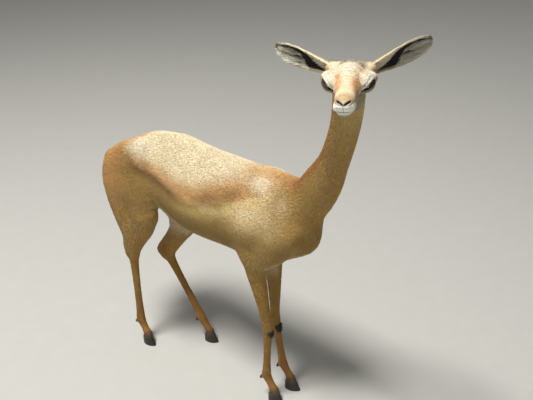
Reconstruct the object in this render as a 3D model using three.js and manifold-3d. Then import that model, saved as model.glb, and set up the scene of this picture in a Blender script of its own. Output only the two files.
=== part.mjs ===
// Gerenuk, a hornless adult female, life size, standing with her head turned to her right.
// Millimetres. +X runs from the rump to the chest, +Y to the animal's left, +Z up. The hooves stand on Z = 0.
// The body is a set of tapered, oval-sectioned tubes laid along the bones and muscles and blended together.
// That blended form is polygonised region by region and parted with thin cuts.
// A tube's rise is its axis x its side, so an axis along +X with its side along +Y rises along +Z.

import * as THREE from "three";
import { mergeVertices } from "three/addons/utils/BufferGeometryUtils.js";
import Module from "manifold-3d";

const wasm = await Module();
wasm.setup();

// Driving dimensions
const GAP = 0.3; // clearance between pieces that meet
const HOOF_LENGTH = 56;
const CLAW_WIDTH = 18.5;
const CLEFT = 1.6; // half the gap between the two claws of a foot
const EYE_RADIUS = 17;
const LID_SLOPE = 0.3; // radians that the slit between the lids falls towards the nose
const EAR_LENGTH = 152;
const EAR_WALL = 3;

// Places of the joints and bony points
const EYES_MIDDLE = [590, -266, 1273]; // midway between the two eyes
const MUZZLE_YAW = -65.5; // degrees from +X, negative towards the animal's right
const MUZZLE_PITCH = 9.5; // degrees that the head's own forward axis rises
const HEAD_ROLL = 1.5;

const FORELEGS = {
  right: {
    sign: -1,
    shoulder: [292, -62, 702],
    elbow: [165, -60, 580],
    carpus: [206, -45, 305],
    fetlock: [197, -45, 100],
    coronet: [229, -45, 42],
    yaw: -2,
    brush: { drop: 4, size: 0.68 },
  },
  left: {
    sign: 1,
    shoulder: [292, 62, 702],
    elbow: [156, 58, 580],
    carpus: [178, 37, 284],
    fetlock: [210, 38, 98],
    coronet: [242, 40, 42],
    yaw: 4,
    brush: { drop: 22, size: 0.8 },
  },
};
const HIND_LEGS = {
  right: {
    sign: -1,
    hip: [-355, -52, 775],
    stifle: [-292, -84, 612],
    hock: [-394, -76, 414],
    fetlock: [-398, -78, 102],
    coronet: [-366, -80, 42],
    yaw: -6,
    rear: [
      [-426, 768, 62, 78],
      [-430, 704, 66, 88],
      [-426, 628, 66, 70],
      [-410, 560, 60, 50],
      [-397, 505, 44, 38],
      [-394, 458, 26, 27],
    ],
  },
  left: {
    sign: 1,
    hip: [-350, 52, 775],
    stifle: [-216, 84, 590],
    hock: [-363, 70, 347],
    fetlock: [-206, 70, 100],
    coronet: [-172, 73, 42],
    yaw: 5,
    rear: [
      [-426, 768, 62, 78],
      [-426, 706, 66, 86],
      [-400, 642, 62, 66],
      [-354, 588, 56, 50],
      [-316, 545, 46, 38],
      [-304, 510, 36, 30],
    ],
  },
};

// Small vector helpers on plain arrays
const mix = (a, b, t) => a + (b - a) * t;
const between = (a, b, t) => a.map((v, i) => mix(v, b[i], t));
const add = (a, b) => a.map((v, i) => v + b[i]);
const sub = (a, b) => a.map((v, i) => v - b[i]);
const dot = (a, b) => a[0] * b[0] + a[1] * b[1] + a[2] * b[2];
const cross = (a, b) => [
  a[1] * b[2] - a[2] * b[1],
  a[2] * b[0] - a[0] * b[2],
  a[0] * b[1] - a[1] * b[0],
];
const unit = (a) => a.map((v) => v / Math.hypot(...a));
const radians = (degrees) => (degrees * Math.PI) / 180;

// Union of two distances, rounded over the width k, and the matching cut
const blend = (a, b, k) => {
  const h = Math.max(k - Math.abs(a - b), 0) / k;
  return Math.min(a, b) - (h * h * k) / 4;
};

// A tube through stations [x, y, z, half width, height above, depth below] of its axis.
// Half widths lie along side, and the heights across it. Catmull-Rom curves join the stations.
function tube(stations, side = [0, 1, 0], steps = 3) {
  const rows = [];
  const count = stations.length;
  for (let i = 0; i + 1 < count; i++) {
    const [p, a, b, n] = [-1, 0, 1, 2].map(
      (o) => stations[Math.min(Math.max(i + o, 0), count - 1)],
    );
    for (let j = 0; j < steps; j++) {
      const t = j / steps;
      rows.push(
        a.map((v, c) => {
          const m0 = (b[c] - p[c]) / 2;
          const m1 = (n[c] - v) / 2;
          const t2 = t * t;
          const t3 = t2 * t;
          return (2 * t3 - 3 * t2 + 1) * v + (t3 - 2 * t2 + t) * m0 + (3 * t2 - 2 * t3) * b[c] + (t3 - t2) * m1;
        }),
      );
    }
  }
  rows.push(stations[count - 1]);
  const segments = rows.slice(1).map((b, i) => {
    const a = rows[i];
    const from = a.slice(0, 3);
    const along = sub(b.slice(0, 3), from);
    const length = Math.hypot(...along);
    const axis = unit(along);
    const across = unit(sub(side, axis.map((v) => v * dot(side, axis))));
    return { from, length, axis, across, rise: cross(axis, across), a: a.slice(3), b: b.slice(3) };
  });
  const reach = Math.max(...rows.flatMap((r) => r.slice(3)));
  const low = [0, 1, 2].map((c) => Math.min(...rows.map((r) => r[c])) - reach);
  const high = [0, 1, 2].map((c) => Math.max(...rows.map((r) => r[c])) + reach);
  return { segments, low, high };
}

// Distance from a point to a tube: along the ray from the nearest axis point to the oval's edge
const FAR = 90;
function tubeDistance(shape, p) {
  let outside = 0;
  for (let c = 0; c < 3; c++) {
    const d = Math.max(shape.low[c] - p[c], p[c] - shape.high[c], 0);
    outside += d * d;
  }
  if (outside > FAR * FAR) return Math.sqrt(outside);
  let nearest = Infinity;
  for (const s of shape.segments) {
    const q = sub(p, s.from);
    const along = dot(q, s.axis);
    const t = Math.min(Math.max(along / s.length, 0), 1);
    const end = along - t * s.length;
    const x = dot(q, s.across);
    const z = dot(q, s.rise);
    const width = mix(s.a[0], s.b[0], t);
    const height = z > 0 ? mix(s.a[1], s.b[1], t) : mix(s.a[2], s.b[2], t);
    const cap = Math.min(width, height);
    const scaled = Math.hypot(x / width, z / height, end / cap);
    const length = Math.hypot(x, z, end);
    const d = scaled < 1e-6 ? -cap : length * (1 - 1 / scaled);
    if (d < nearest) nearest = d;
  }
  return nearest;
}

// Trunk: rump, loin, barrel, chest. The section's height above and depth below are for a level axis.
const TRUNK = tube([
  [-478, 0, 768, 40, 30, 62],
  [-450, 0, 768, 56, 44, 84],
  [-405, 0, 764, 72, 78, 96],
  [-335, 0, 758, 90, 113, 110],
  [-265, 0, 752, 97, 142, 120],
  [-195, 0, 744, 99, 168, 134],
  [-120, 0, 733, 106, 166, 164],
  [-40, 0, 726, 114, 160, 162],
  [45, 0, 722, 116, 158, 156],
  [125, 0, 720, 108, 156, 160],
  [200, 0, 722, 95, 156, 158],
  [265, 0, 728, 76, 142, 130],
  [312, 0, 740, 54, 102, 104],
  [334, 0, 748, 36, 56, 62],
]);

const NECK = tube([
  [262, 0, 770, 62, 84, 84],
  [330, 0, 825, 54, 60, 76],
  [384, -10, 892, 47, 58, 60],
  [425, -27, 968, 38, 45, 45],
  [459, -54, 1042, 35, 41, 42],
  [489, -86, 1112, 34, 40, 41],
  [514, -124, 1180, 34, 40, 42],
  [532, -158, 1232, 34, 39, 42],
  [550, -190, 1262, 34, 34, 40],
]);

const TAIL = tube([
  [-432, 0, 806, 26, 26, 26],
  [-480, 0, 794, 22, 19, 19],
  [-512, 0, 756, 17, 15, 15],
  [-523, 2, 700, 13, 12, 12],
  [-524, 5, 640, 11, 10, 10],
  [-519, 9, 590, 12, 10, 10],
  [-513, 12, 560, 7, 6, 6],
]);

// Shoulder blade, upper arm and foreleg down to the coronet
function forelegTubes({ sign, shoulder, elbow, carpus, fetlock, coronet }) {
  const at = (point, w, r, back = r) => [...point, w, r, back];
  const forearm = (t) => between(elbow, carpus, t);
  const cannon = (t) => between(carpus, fetlock, t);
  return {
    blade: tube([
      at([182, sign * 46, 826], 22, 30),
      at([228, sign * 58, 770], 30, 48),
      at(shoulder, 32, 44),
    ]),
    arm: tube([
      at(shoulder, 32, 42),
      at([240, sign * 65, 640], 34, 50),
      at(add(elbow, [6, 0, 4]), 30, 44),
    ]),
    triceps: tube([
      at([196, sign * 62, 750], 30, 48),
      at([150, sign * 64, 660], 30, 44),
      at(add(elbow, [-22, 0, 16]), 20, 22),
    ]),
    leg: tube(
      [
        at(forearm(-0.08), 29, 44, 42),
        at(forearm(0.16), 28, 37, 38),
        at(forearm(0.42), 24, 30, 27),
        at(forearm(0.66), 19.5, 24, 20),
        at(forearm(0.86), 17, 19, 17),
        at(carpus, 18.5, 20, 19),
        at(cannon(0.17), 16.5, 17, 16.5),
        at(cannon(0.42), 13.5, 14, 14.5),
        at(cannon(0.72), 13, 14, 15),
        at(cannon(0.9), 15, 16.5, 17),
        at(fetlock, 16.5, 18, 18.5),
        at(between(fetlock, coronet, 0.5), 14.5, 14, 14),
        at(coronet, 18, 17.5, 16.5),
        at(add(coronet, [8, 0, -16]), 18, 17.5, 16.5),
      ],
    ),
    dewclaws: tube([at(add(fetlock, [-19, -9, -13]), 6, 7), at(add(fetlock, [-19, 9, -13]), 6, 7)], [1, 0, 0]),
  };
}

// Haunch, thigh, gaskin, hock and hind leg down to the coronet
const REAR_SIDE = [44, 54, 65, 74, 77, 76];
const REAR_WIDTH = [48, 48, 41, 33, 26, 20];

function hindLegTubes({ sign, hip, stifle, hock, fetlock, coronet, rear }) {
  const at = (point, w, r, back = r) => [...point, w, r, back];
  const shank = (t) => between(stifle, hock, t);
  const cannon = (t) => between(hock, fetlock, t);
  const up = unit(sub(hock, fetlock));
  const hockPoint = [0, 1, 2].map((c) => hock[c] + 30 * up[c] + 35 * [-up[2], 0, up[0]][c]);
  const down = unit(sub(hock, stifle));
  const calf = (t, out) => [0, 1, 2].map((c) => shank(t)[c] + out * [down[2], 0, -down[0]][c]);
  return {
    haunch: tube([
      at([-262, sign * 58, 838], 36, 38),
      at([-340, sign * 52, 822], 40, 44),
      at([-412, sign * 36, 772], 42, 44),
    ]),
    thigh: tube([
      at(add(hip, [0, sign * 6, 0]), 50, 92, 92),
      at(add(between(hip, stifle, 0.5), [-6, sign * 2, 0]), 48, 84, 84),
      at(stifle, 34, 58, 54),
    ]),
    hamstring: tube(
      rear.map(([x, z, ahead, back], i) => at([x, sign * REAR_SIDE[i], z], REAR_WIDTH[i], ahead, back)),
    ),
    gaskin: tube([
      at(add(stifle, [-6, 0, -6]), 36, 56, 56),
      at(shank(0.3), 33, 52, 50),
      at(shank(0.58), 26, 38, 36),
      at(shank(0.82), 20, 29, 25),
      at(hock, 19, 27, 23),
    ]),
    tendon: tube([
      at(calf(0.5, 30), 14, 16),
      at(calf(0.74, 36), 10, 12),
      at(hockPoint, 11, 11),
      at(add(hock, [-18 * up[2], 0, 18 * up[0]]), 13, 14),
    ]),
    leg: tube([
      at(add(hock, up.map((v) => 14 * v)), 19, 26, 24),
      at(add(hock, up.map((v) => -14 * v)), 18.5, 23, 22),
      at(cannon(0.18), 15.5, 17.5, 18),
      at(cannon(0.42), 13.5, 15.5, 16),
      at(cannon(0.72), 13.5, 15.5, 16),
      at(cannon(0.9), 15.5, 17.5, 18),
      at(fetlock, 17, 19, 20),
      at(between(fetlock, coronet, 0.5), 14.5, 15, 15),
      at(coronet, 18, 17.5, 16.5),
      at(add(coronet, [8, 0, -16]), 18, 17.5, 16.5),
    ]),
    dewclaws: tube([at(add(fetlock, [-20, -9, -13]), 6, 7), at(add(fetlock, [-20, 9, -13]), 6, 7)], [1, 0, 0]),
  };
}

const forelegs = Object.values(FORELEGS).map(forelegTubes);
const hindLegs = Object.values(HIND_LEGS).map(hindLegTubes);

// The head's own frame: forward to the muzzle, side to the animal's left, up through the crown
const headTurn = new THREE.Matrix4()
  .makeRotationZ(radians(MUZZLE_YAW))
  .multiply(new THREE.Matrix4().makeRotationY(radians(-MUZZLE_PITCH)))
  .multiply(new THREE.Matrix4().makeRotationX(radians(HEAD_ROLL)));
const headAxes = [0, 1, 2].map((c) => new THREE.Vector3().setFromMatrixColumn(headTurn, c).toArray());
const toHead = (p) => {
  const q = sub(p, EYES_MIDDLE);
  return headAxes.map((axis) => dot(q, axis));
};
const fromHead = (q) => add(EYES_MIDDLE, [0, 1, 2].map((c) => q[0] * headAxes[0][c] + q[1] * headAxes[1][c] + q[2] * headAxes[2][c]));

// Head forms in that frame. Paired forms are given once, on the +side, and the side is folded.
const EYE = [14, 35, 6.5];
const HEAD = {
  skull: tube([
    [-88, 0, 6, 26, 26, 32],
    [-62, 0, 12, 35, 34, 38],
    [-32, 0, 11, 39, 39, 40],
    [0, 0, 6, 37, 35, 40],
    [30, 0, -1, 30, 28, 35],
    [60, 0, -9, 24, 22, 27],
    [90, 0, -15, 22, 18, 22],
    [110, 0, -20, 20.5, 15, 18],
    [119, 0, -22, 17, 11, 14],
  ]),
  brow: tube([
    [-24, 36, 16, 15, 13, 13],
    [-3, 44, 15, 16, 15, 15],
    [20, 34, 8, 12, 12, 12],
  ]),
  orbit: tube([
    [-10, 35, 7, 16.5, 16, 16],
    [13, 33, 6, 15.5, 14, 13],
  ]),
  cheek: tube([
    [-48, 21, -26, 13, 24, 22],
    [-15, 19, -28, 14, 20, 18],
    [25, 17, -26, 11, 14, 14],
  ]),
  jaw: tube([
    [-58, 16, -38, 9, 14, 12],
    [-20, 13, -48, 9, 12, 8],
    [40, 9, -45, 8, 9, 7],
    [88, 3, -41.5, 9, 8, 7.5],
    [106, 0, -42, 10, 8, 6.5],
  ]),
  lip: tube([
    [86, 11, -27, 12, 12, 12.5],
    [113, 11, -28, 11.5, 11, 9.5],
  ]),
  earRoot: tube(
    [
      [-50, 24, 18, 19, 22, 22],
      [-58, 42, 28, 14, 16, 16],
    ],
    [1, 0, 0],
  ),
};

function headDistance(p) {
  const [f, s, u] = toHead(p);
  const q = [f, Math.abs(s), u];
  let d = tubeDistance(HEAD.skull, q);
  d = blend(d, tubeDistance(HEAD.cheek, q), 16);
  d = blend(d, tubeDistance(HEAD.jaw, q), 22);
  d = blend(d, tubeDistance(HEAD.orbit, q), 12);
  d = blend(d, tubeDistance(HEAD.brow, q), 10);
  d = blend(d, tubeDistance(HEAD.lip, q), 5);
  return blend(d, tubeDistance(HEAD.earRoot, q), 18);
}

// The whole animal's flesh, from nose to coronets
function flesh(p) {
  let d = blend(tubeDistance(TRUNK, p), tubeDistance(NECK, p), 36);
  for (const leg of forelegs) {
    const shoulder = blend(tubeDistance(leg.blade, p), tubeDistance(leg.arm, p), 30);
    d = blend(d, blend(shoulder, tubeDistance(leg.triceps, p), 30), 36);
    d = blend(d, tubeDistance(leg.leg, p), 26);
    d = blend(d, tubeDistance(leg.dewclaws, p), 5);
  }
  for (const leg of hindLegs) {
    const thigh = blend(tubeDistance(leg.thigh, p), tubeDistance(leg.hamstring, p), 34);
    const shank = blend(tubeDistance(leg.gaskin, p), tubeDistance(leg.leg, p), 14);
    d = blend(d, tubeDistance(leg.haunch, p), 40);
    d = blend(d, blend(thigh, blend(shank, tubeDistance(leg.tendon, p), 14), 26), 30);
    d = blend(d, tubeDistance(leg.dewclaws, p), 5);
  }
  d = blend(d, tubeDistance(TAIL, p), 10);
  const head = headDistance(p);
  return d < FAR || head < FAR ? blend(d, head, 22) : Math.min(d, head);
}

// Grid lines from low to high, no wider apart than a step
const lines = (low, high, step) => {
  const count = Math.ceil((high - low) / step);
  return Array.from({ length: count + 1 }, (_, i) => mix(low, high, i / count));
};

// Surface nets: one vertex in each grid cell that the surface crosses, one quad across each crossed grid edge
function netSurface(field, grid) {
  const n = grid.map((line) => line.length);
  const index = (i, j, k) => i + n[0] * (j + n[1] * k);
  const place = (i, j, k) => [grid[0][i], grid[1][j], grid[2][k]];
  const value = new Float64Array(n[0] * n[1] * n[2]);
  for (let k = 0; k < n[2]; k++)
    for (let j = 0; j < n[1]; j++)
      for (let i = 0; i < n[0]; i++) {
        const rim = i === 0 || j === 0 || k === 0 || i === n[0] - 1 || j === n[1] - 1 || k === n[2] - 1;
        value[index(i, j, k)] = rim ? 1 : field(place(i, j, k));
      }
  const corners = [0, 1, 2, 3, 4, 5, 6, 7].map((b) => [b & 1, (b >> 1) & 1, (b >> 2) & 1]);
  onePerCell(value, n, corners.map(([a, b, c]) => index(a, b, c)));
  const edges = corners.flatMap((c, a) =>
    [0, 1, 2].filter((axis) => !c[axis]).map((axis) => [a, a | (1 << axis)]),
  );
  const vertexOf = new Map();
  const positions = [];
  for (let k = 0; k + 1 < n[2]; k++)
    for (let j = 0; j + 1 < n[1]; j++)
      for (let i = 0; i + 1 < n[0]; i++) {
        const v = corners.map(([a, b, c]) => value[index(i + a, j + b, k + c)]);
        const crossed = edges.filter(([a, b]) => v[a] < 0 !== v[b] < 0);
        if (!crossed.length) continue;
        const sum = [0, 0, 0];
        for (const [a, b] of crossed) {
          const t = v[a] / (v[a] - v[b]);
          for (let c = 0; c < 3; c++) sum[c] += mix(corners[a][c], corners[b][c], t) / crossed.length;
        }
        vertexOf.set(index(i, j, k), positions.length / 3);
        const start = place(i, j, k);
        const cell = sub(place(i + 1, j + 1, k + 1), start);
        positions.push(...settle(field, start.map((s, c) => s + sum[c] * cell[c]), cell));
      }
  const triangles = [];
  const steps = [1, n[0], n[0] * n[1]];
  for (let k = 0; k + 1 < n[2]; k++)
    for (let j = 0; j + 1 < n[1]; j++)
      for (let i = 0; i + 1 < n[0]; i++) {
        const at = index(i, j, k);
        for (let axis = 0; axis < 3; axis++) {
          const inside = value[at] < 0;
          if (inside === value[at + steps[axis]] < 0) continue;
          const [b, c] = [steps[(axis + 1) % 3], steps[(axis + 2) % 3]];
          const quad = [at - b - c, at - c, at, at - b].map((cellIndex) => vertexOf.get(cellIndex));
          if (!inside) quad.reverse();
          triangles.push(...shortSplit(quad, positions));
        }
      }
  return { positions, triangles };
}

// Leaves each cell one patch of surface at most, by changing the side of its smaller stray corners
function onePerCell(value, n, offsets) {
  const strays = (ids, inside) => {
    const groups = [];
    const left = new Set([0, 1, 2, 3, 4, 5, 6, 7].filter((b) => value[ids[b]] < 0 === inside));
    while (left.size) {
      const group = [];
      const queue = [left.values().next().value];
      left.delete(queue[0]);
      while (queue.length) {
        const b = queue.pop();
        group.push(b);
        for (const next of [b ^ 1, b ^ 2, b ^ 4]) if (left.delete(next)) queue.push(next);
      }
      groups.push(group);
    }
    groups.sort((a, b) => a.length - b.length);
    return groups.slice(0, -1).flat().map((b) => ids[b]);
  };
  for (let changed = 1, pass = 0; changed && pass < 30; pass++) {
    changed = 0;
    for (let start = 0; start + offsets[7] < value.length; start++) {
      if (start % n[0] === n[0] - 1 || Math.floor(start / n[0]) % n[1] === n[1] - 1) continue;
      const ids = offsets.map((offset) => start + offset);
      for (const inside of [true, false]) {
        for (const id of strays(ids, inside)) {
          if (value[id] === 1 && !inside) continue;
          value[id] = inside ? 0.01 : -0.01;
          changed++;
        }
      }
    }
  }
}

// Moves a vertex on to the surface along the field's gradient, by less than one cell
function settle(field, p, cell) {
  const h = 0.5;
  let at = p;
  for (let round = 0; round < 2; round++) {
    const d = field(at);
    const slope = [0, 1, 2].map((c) => {
      const step = [0, 0, 0];
      step[c] = h;
      return (field(add(at, step)) - d) / h;
    });
    const size = Math.max(dot(slope, slope), 0.05);
    at = at.map((v, c) => v - Math.max(-cell[c] / 3, Math.min(cell[c] / 3, (d * slope[c]) / size)));
  }
  return at;
}

// Splits a quad along its shorter diagonal
function shortSplit([a, b, c, d], positions) {
  const gap = (u, v) => Math.hypot(...[0, 1, 2].map((i) => positions[3 * u + i] - positions[3 * v + i]));
  return gap(a, c) < gap(b, d) ? [a, b, c, a, c, d] : [a, b, d, b, c, d];
}

function solidFrom({ positions, triangles }) {
  return new wasm.Manifold(
    new wasm.Mesh({
      numProp: 3,
      vertProperties: new Float32Array(positions),
      triVerts: new Uint32Array(triangles),
    }),
  );
}

// A closed three.js geometry as a solid
function solidOf(geometry) {
  const bare = geometry.clone();
  bare.deleteAttribute("normal");
  bare.deleteAttribute("uv");
  const merged = mergeVertices(bare, 1e-3);
  return solidFrom({ positions: merged.attributes.position.array, triangles: merged.index.array });
}

// The largest closed body of a solid
function mainBody(solid) {
  return solid.decompose().reduce((best, body) => (body.volume() > best.volume() ? body : best));
}

// The same solid with points closer than a step made one, and the triangles that vanish left out
function welded(solid) {
  const { vertProperties, triVerts, numProp } = solid.getMesh();
  for (const step of [0.02, 0.05, 0.1, 0.01]) {
    const seen = new Map();
    const positions = [];
    const newIndex = Array.from({ length: vertProperties.length / numProp }, (_, i) => {
      const p = Array.from(vertProperties.subarray(i * numProp, i * numProp + 3), (v) => Math.round(v / step) * step);
      const key = p.map((v) => v.toFixed(3)).join();
      if (!seen.has(key)) {
        seen.set(key, positions.length / 3);
        positions.push(...p);
      }
      return seen.get(key);
    });
    const triangles = [];
    for (let t = 0; t < triVerts.length; t += 3) {
      const [a, b, c] = [0, 1, 2].map((k) => newIndex[triVerts[t + k]]);
      if (a !== b && b !== c && c !== a) triangles.push(a, b, c);
    }
    if (everyEdgeTwice(triangles)) return solidFrom({ positions, triangles });
  }
  return solid;
}

// True when each edge is used once in each direction
function everyEdgeTwice(triangles) {
  const used = new Set();
  for (let t = 0; t < triangles.length; t += 3) {
    for (let k = 0; k < 3; k++) {
      const key = `${triangles[t + k]},${triangles[t + ((k + 1) % 3)]}`;
      if (used.has(key)) return false;
      used.add(key);
    }
  }
  return [...used].every((key) => used.has(key.split(",").reverse().join()));
}

// Cutting planes between neighbouring pieces: a point on the plane and its normal
const CUTS = {
  chestNeck: [[352, 0, 850], unit([0.62, 0, 0.78])],
  neckMiddle: [[449, -46, 1020], unit([0.4, -0.35, 0.85])],
  neckHead: [[519, -136, 1208], unit([0.12, -0.42, 0.9])],
  barrelChest: [[95, 0, 720], [1, 0, 0]],
  rumpBarrel: [[-165, 0, 740], [1, 0, 0]],
  elbow: [[0, 0, 546], [0, 0, 1]],
  thigh: [[-220, 0, 572], unit([0.12, 0, 1])],
};

// Keeps what lies on the positive (keep = 1) or negative (keep = -1) side of a cut, half a gap away from it
function trim(solid, [point, normal], keep) {
  const n = normal.map((v) => v * keep);
  return solid.trimByPlane(n, dot(n, point) + GAP / 2);
}

// One piece of flesh: the blended form in a box, trimmed by its cuts
function netPiece(low, high, cell, cuts) {
  const grid = [0, 1, 2].map((c) => lines(low[c], high[c], cell[c]));
  const form = solidFrom(netSurface(flesh, grid));
  return mainBody(cuts.reduce((solid, [cut, keep]) => trim(solid, cut, keep), form));
}

// Distance from a point inside the flesh to its surface along a direction
function reachTo(field, from, direction) {
  const at = (t) => field(add(from, direction.map((v) => v * t)));
  let inner = 0;
  let outer = 0.5;
  for (let step = 0; step < 200; step++) {
    const d = at(outer);
    if (d > 0) break;
    inner = outer;
    outer += Math.max(-d * 0.5, 0.4);
  }
  for (let halving = 0; halving < 14; halving++) {
    const middle = (inner + outer) / 2;
    if (at(middle) > 0) outer = middle;
    else inner = middle;
  }
  return (inner + outer) / 2;
}

// A ring of surface points in a plane, seen from a centre inside the flesh
function ringAt(field, centre, normal, first, around, stretch) {
  const u = unit(sub(first, normal.map((v) => v * dot(first, normal))));
  const v = cross(normal, u);
  return Array.from({ length: around }, (_, i) => {
    const angle = (2 * Math.PI * i) / around;
    const direction = unit(u.map((c, n) => c * Math.cos(angle) * stretch + v[n] * Math.sin(angle)));
    return add(centre, direction.map((c) => c * reachTo(field, centre, direction)));
  });
}

// A closed solid through rings of equal counts, in order along their common normal
function ringSolid(rings) {
  const around = rings[0].length;
  const last = rings.length - 1;
  const centre = (ring) => [0, 1, 2].map((c) => ring.reduce((sum, p) => sum + p[c], 0) / around);
  const positions = [...rings.flat(2), ...centre(rings[0]), ...centre(rings[last])];
  const triangles = [];
  for (let i = 0; i < around; i++) {
    const j = (i + 1) % around;
    for (let r = 0; r < last; r++) {
      const quad = [r * around + i, r * around + j, (r + 1) * around + j, (r + 1) * around + i];
      triangles.push(...shortSplit(quad, positions));
    }
    triangles.push(rings.length * around, j, i);
    triangles.push(rings.length * around + 1, last * around + i, last * around + j);
  }
  const corner = (i) => positions.slice(3 * i, 3 * i + 3);
  let volume = 0;
  for (let t = 0; t < triangles.length; t += 3) {
    volume += dot(corner(triangles[t]), cross(corner(triangles[t + 1]), corner(triangles[t + 2])));
  }
  if (volume < 0) triangles.reverse();
  return solidFrom({ positions, triangles });
}

// Equal steps from 0 to 1
const evenly = (count) => Array.from({ length: count }, (_, i) => i / (count - 1));

// A piece of a limb or neck: rings of the flesh between two planes, along a path of points inside it
function limbPiece({ path, shares, startNormal, endNormal, first = [1, 0, 0], around = 14, stretch = 1, field = flesh }) {
  const spans = path.slice(1).map((p, i) => Math.hypot(...sub(p, path[i])));
  const total = spans.reduce((a, b) => a + b, 0);
  const rings = shares.map((share) => {
    let left = share * total;
    let span = 0;
    while (span < spans.length - 1 && left > spans[span]) left -= spans[span++];
    const normal = unit(between(startNormal, endNormal, share));
    let centre = between(path[span], path[span + 1], Math.min(left / spans[span], 1));
    if (share === 0) centre = add(centre, normal.map((v) => (v * GAP) / 2));
    if (share === 1) centre = sub(centre, normal.map((v) => (v * GAP) / 2));
    return ringAt(field, centre, normal, first, around, stretch);
  });
  return ringSolid(rings);
}

// A solid grown outward by a distance, along the mean normal at each of its points
function grown(solid, distance) {
  const { vertProperties, triVerts, numProp } = solid.getMesh();
  const count = vertProperties.length / numProp;
  const point = (i) => Array.from(vertProperties.subarray(i * numProp, i * numProp + 3));
  const normals = Array.from({ length: count }, () => [0, 0, 0]);
  for (let t = 0; t < triVerts.length; t += 3) {
    const [a, b, c] = [point(triVerts[t]), point(triVerts[t + 1]), point(triVerts[t + 2])];
    const n = cross(sub(b, a), sub(c, a));
    for (let k = 0; k < 3; k++) normals[triVerts[t + k]] = add(normals[triVerts[t + k]], n);
  }
  const positions = normals.flatMap((n, i) => add(point(i), unit(n).map((v) => v * distance)));
  return solidFrom({ positions, triangles: Array.from(triVerts) });
}

const group = new THREE.Group();

const COAT = new THREE.MeshStandardMaterial({ color: 0xc08a52, roughness: 0.75, metalness: 0 });
const HORN = new THREE.MeshStandardMaterial({ color: 0x2b2622, roughness: 0.45, metalness: 0 });
const EYE_GLOSS = new THREE.MeshStandardMaterial({ color: 0x1a0f0a, roughness: 0.08, metalness: 0 });
const EAR_SKIN = new THREE.MeshStandardMaterial({ color: 0xb89a78, roughness: 0.8, metalness: 0 });

function place(name, solid, material) {
  const { vertProperties, triVerts, numProp } = welded(solid).getMesh();
  const count = vertProperties.length / numProp;
  const positions = new Float32Array(count * 3);
  for (let i = 0; i < count; i++) positions.set(vertProperties.subarray(i * numProp, i * numProp + 3), i * 3);
  const geometry = new THREE.BufferGeometry()
    .setAttribute("position", new THREE.BufferAttribute(positions, 3))
    .setIndex(new THREE.BufferAttribute(triVerts, 1));
  geometry.computeVertexNormals();
  const mesh = new THREE.Mesh(geometry, material);
  mesh.name = name;
  group.add(mesh);
}

// Rump, barrel and chest
const rump = netPiece([-560, -170, 560], [-120, 170, 960], [28, 25, 25], [
  [CUTS.rumpBarrel, -1],
  [CUTS.thigh, 1],
]);
place("rump", rump, COAT);
place(
  "barrel",
  limbPiece({
    path: [[-165, 0, 735], [95, 0, 722]],
    shares: evenly(11),
    startNormal: [1, 0, 0],
    endNormal: [1, 0, 0],
    first: [0, 0, 1],
    around: 26,
  }),
  COAT,
);
place(
  "chest",
  netPiece([60, -170, 500], [500, 170, 980], [26, 24, 24], [
    [CUTS.barrelChest, 1],
    [CUTS.chestNeck, -1],
    [CUTS.elbow, 1],
  ]),
  COAT,
);

// Neck in two lengths
place(
  "neck_lower",
  limbPiece({
    path: [CUTS.chestNeck[0], [404, -18, 930], CUTS.neckMiddle[0]],
    shares: evenly(9),
    startNormal: CUTS.chestNeck[1],
    endNormal: CUTS.neckMiddle[1],
    around: 18,
  }),
  COAT,
);
place(
  "neck_upper",
  limbPiece({
    path: [CUTS.neckMiddle[0], [487, -86, 1112], CUTS.neckHead[0]],
    shares: evenly(9),
    startNormal: CUTS.neckMiddle[1],
    endNormal: CUTS.neckHead[1],
    around: 16,
  }),
  COAT,
);

// Head and eyes
const headGrid = [
  [...lines(-170, -90, 13), ...lines(-80, 20, 9.5), ...lines(27, 132, 6.6)],
  lines(-101.25, 101.25, 7.5),
  lines(-132, 64, 8),
];
const headNet = netSurface((q) => flesh(fromHead(q)), headGrid);
const headPoints = [];
for (let i = 0; i < headNet.positions.length; i += 3) headPoints.push(...fromHead(headNet.positions.slice(i, i + 3)));
const headForm = mainBody(
  trim(solidFrom({ positions: headPoints, triangles: headNet.triangles }), CUTS.neckHead, 1),
);

function ballAt(centre, radius) {
  return solidOf(new THREE.SphereGeometry(radius, 16, 10)).translate(centre);
}

let head = headForm;
const eyes = [];
for (const side of [1, -1]) {
  const centre = fromHead([EYE[0], side * EYE[1], EYE[2]]);
  const gaze = unit(sub(fromHead([EYE[0] + 0.7, side * (EYE[1] + 0.72), EYE[2]]), centre));
  const back = unit(sub(fromHead([-1, 0, 0.1]), fromHead([0, 0, 0])));
  head = head
    .add(ballAt(centre, EYE_RADIUS + 2.6))
    .subtract(lidOpening(centre, gaze, back))
    .subtract(ballAt(centre, EYE_RADIUS + 0.35));
  eyes.push(ballAt(centre, EYE_RADIUS));
}

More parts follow.
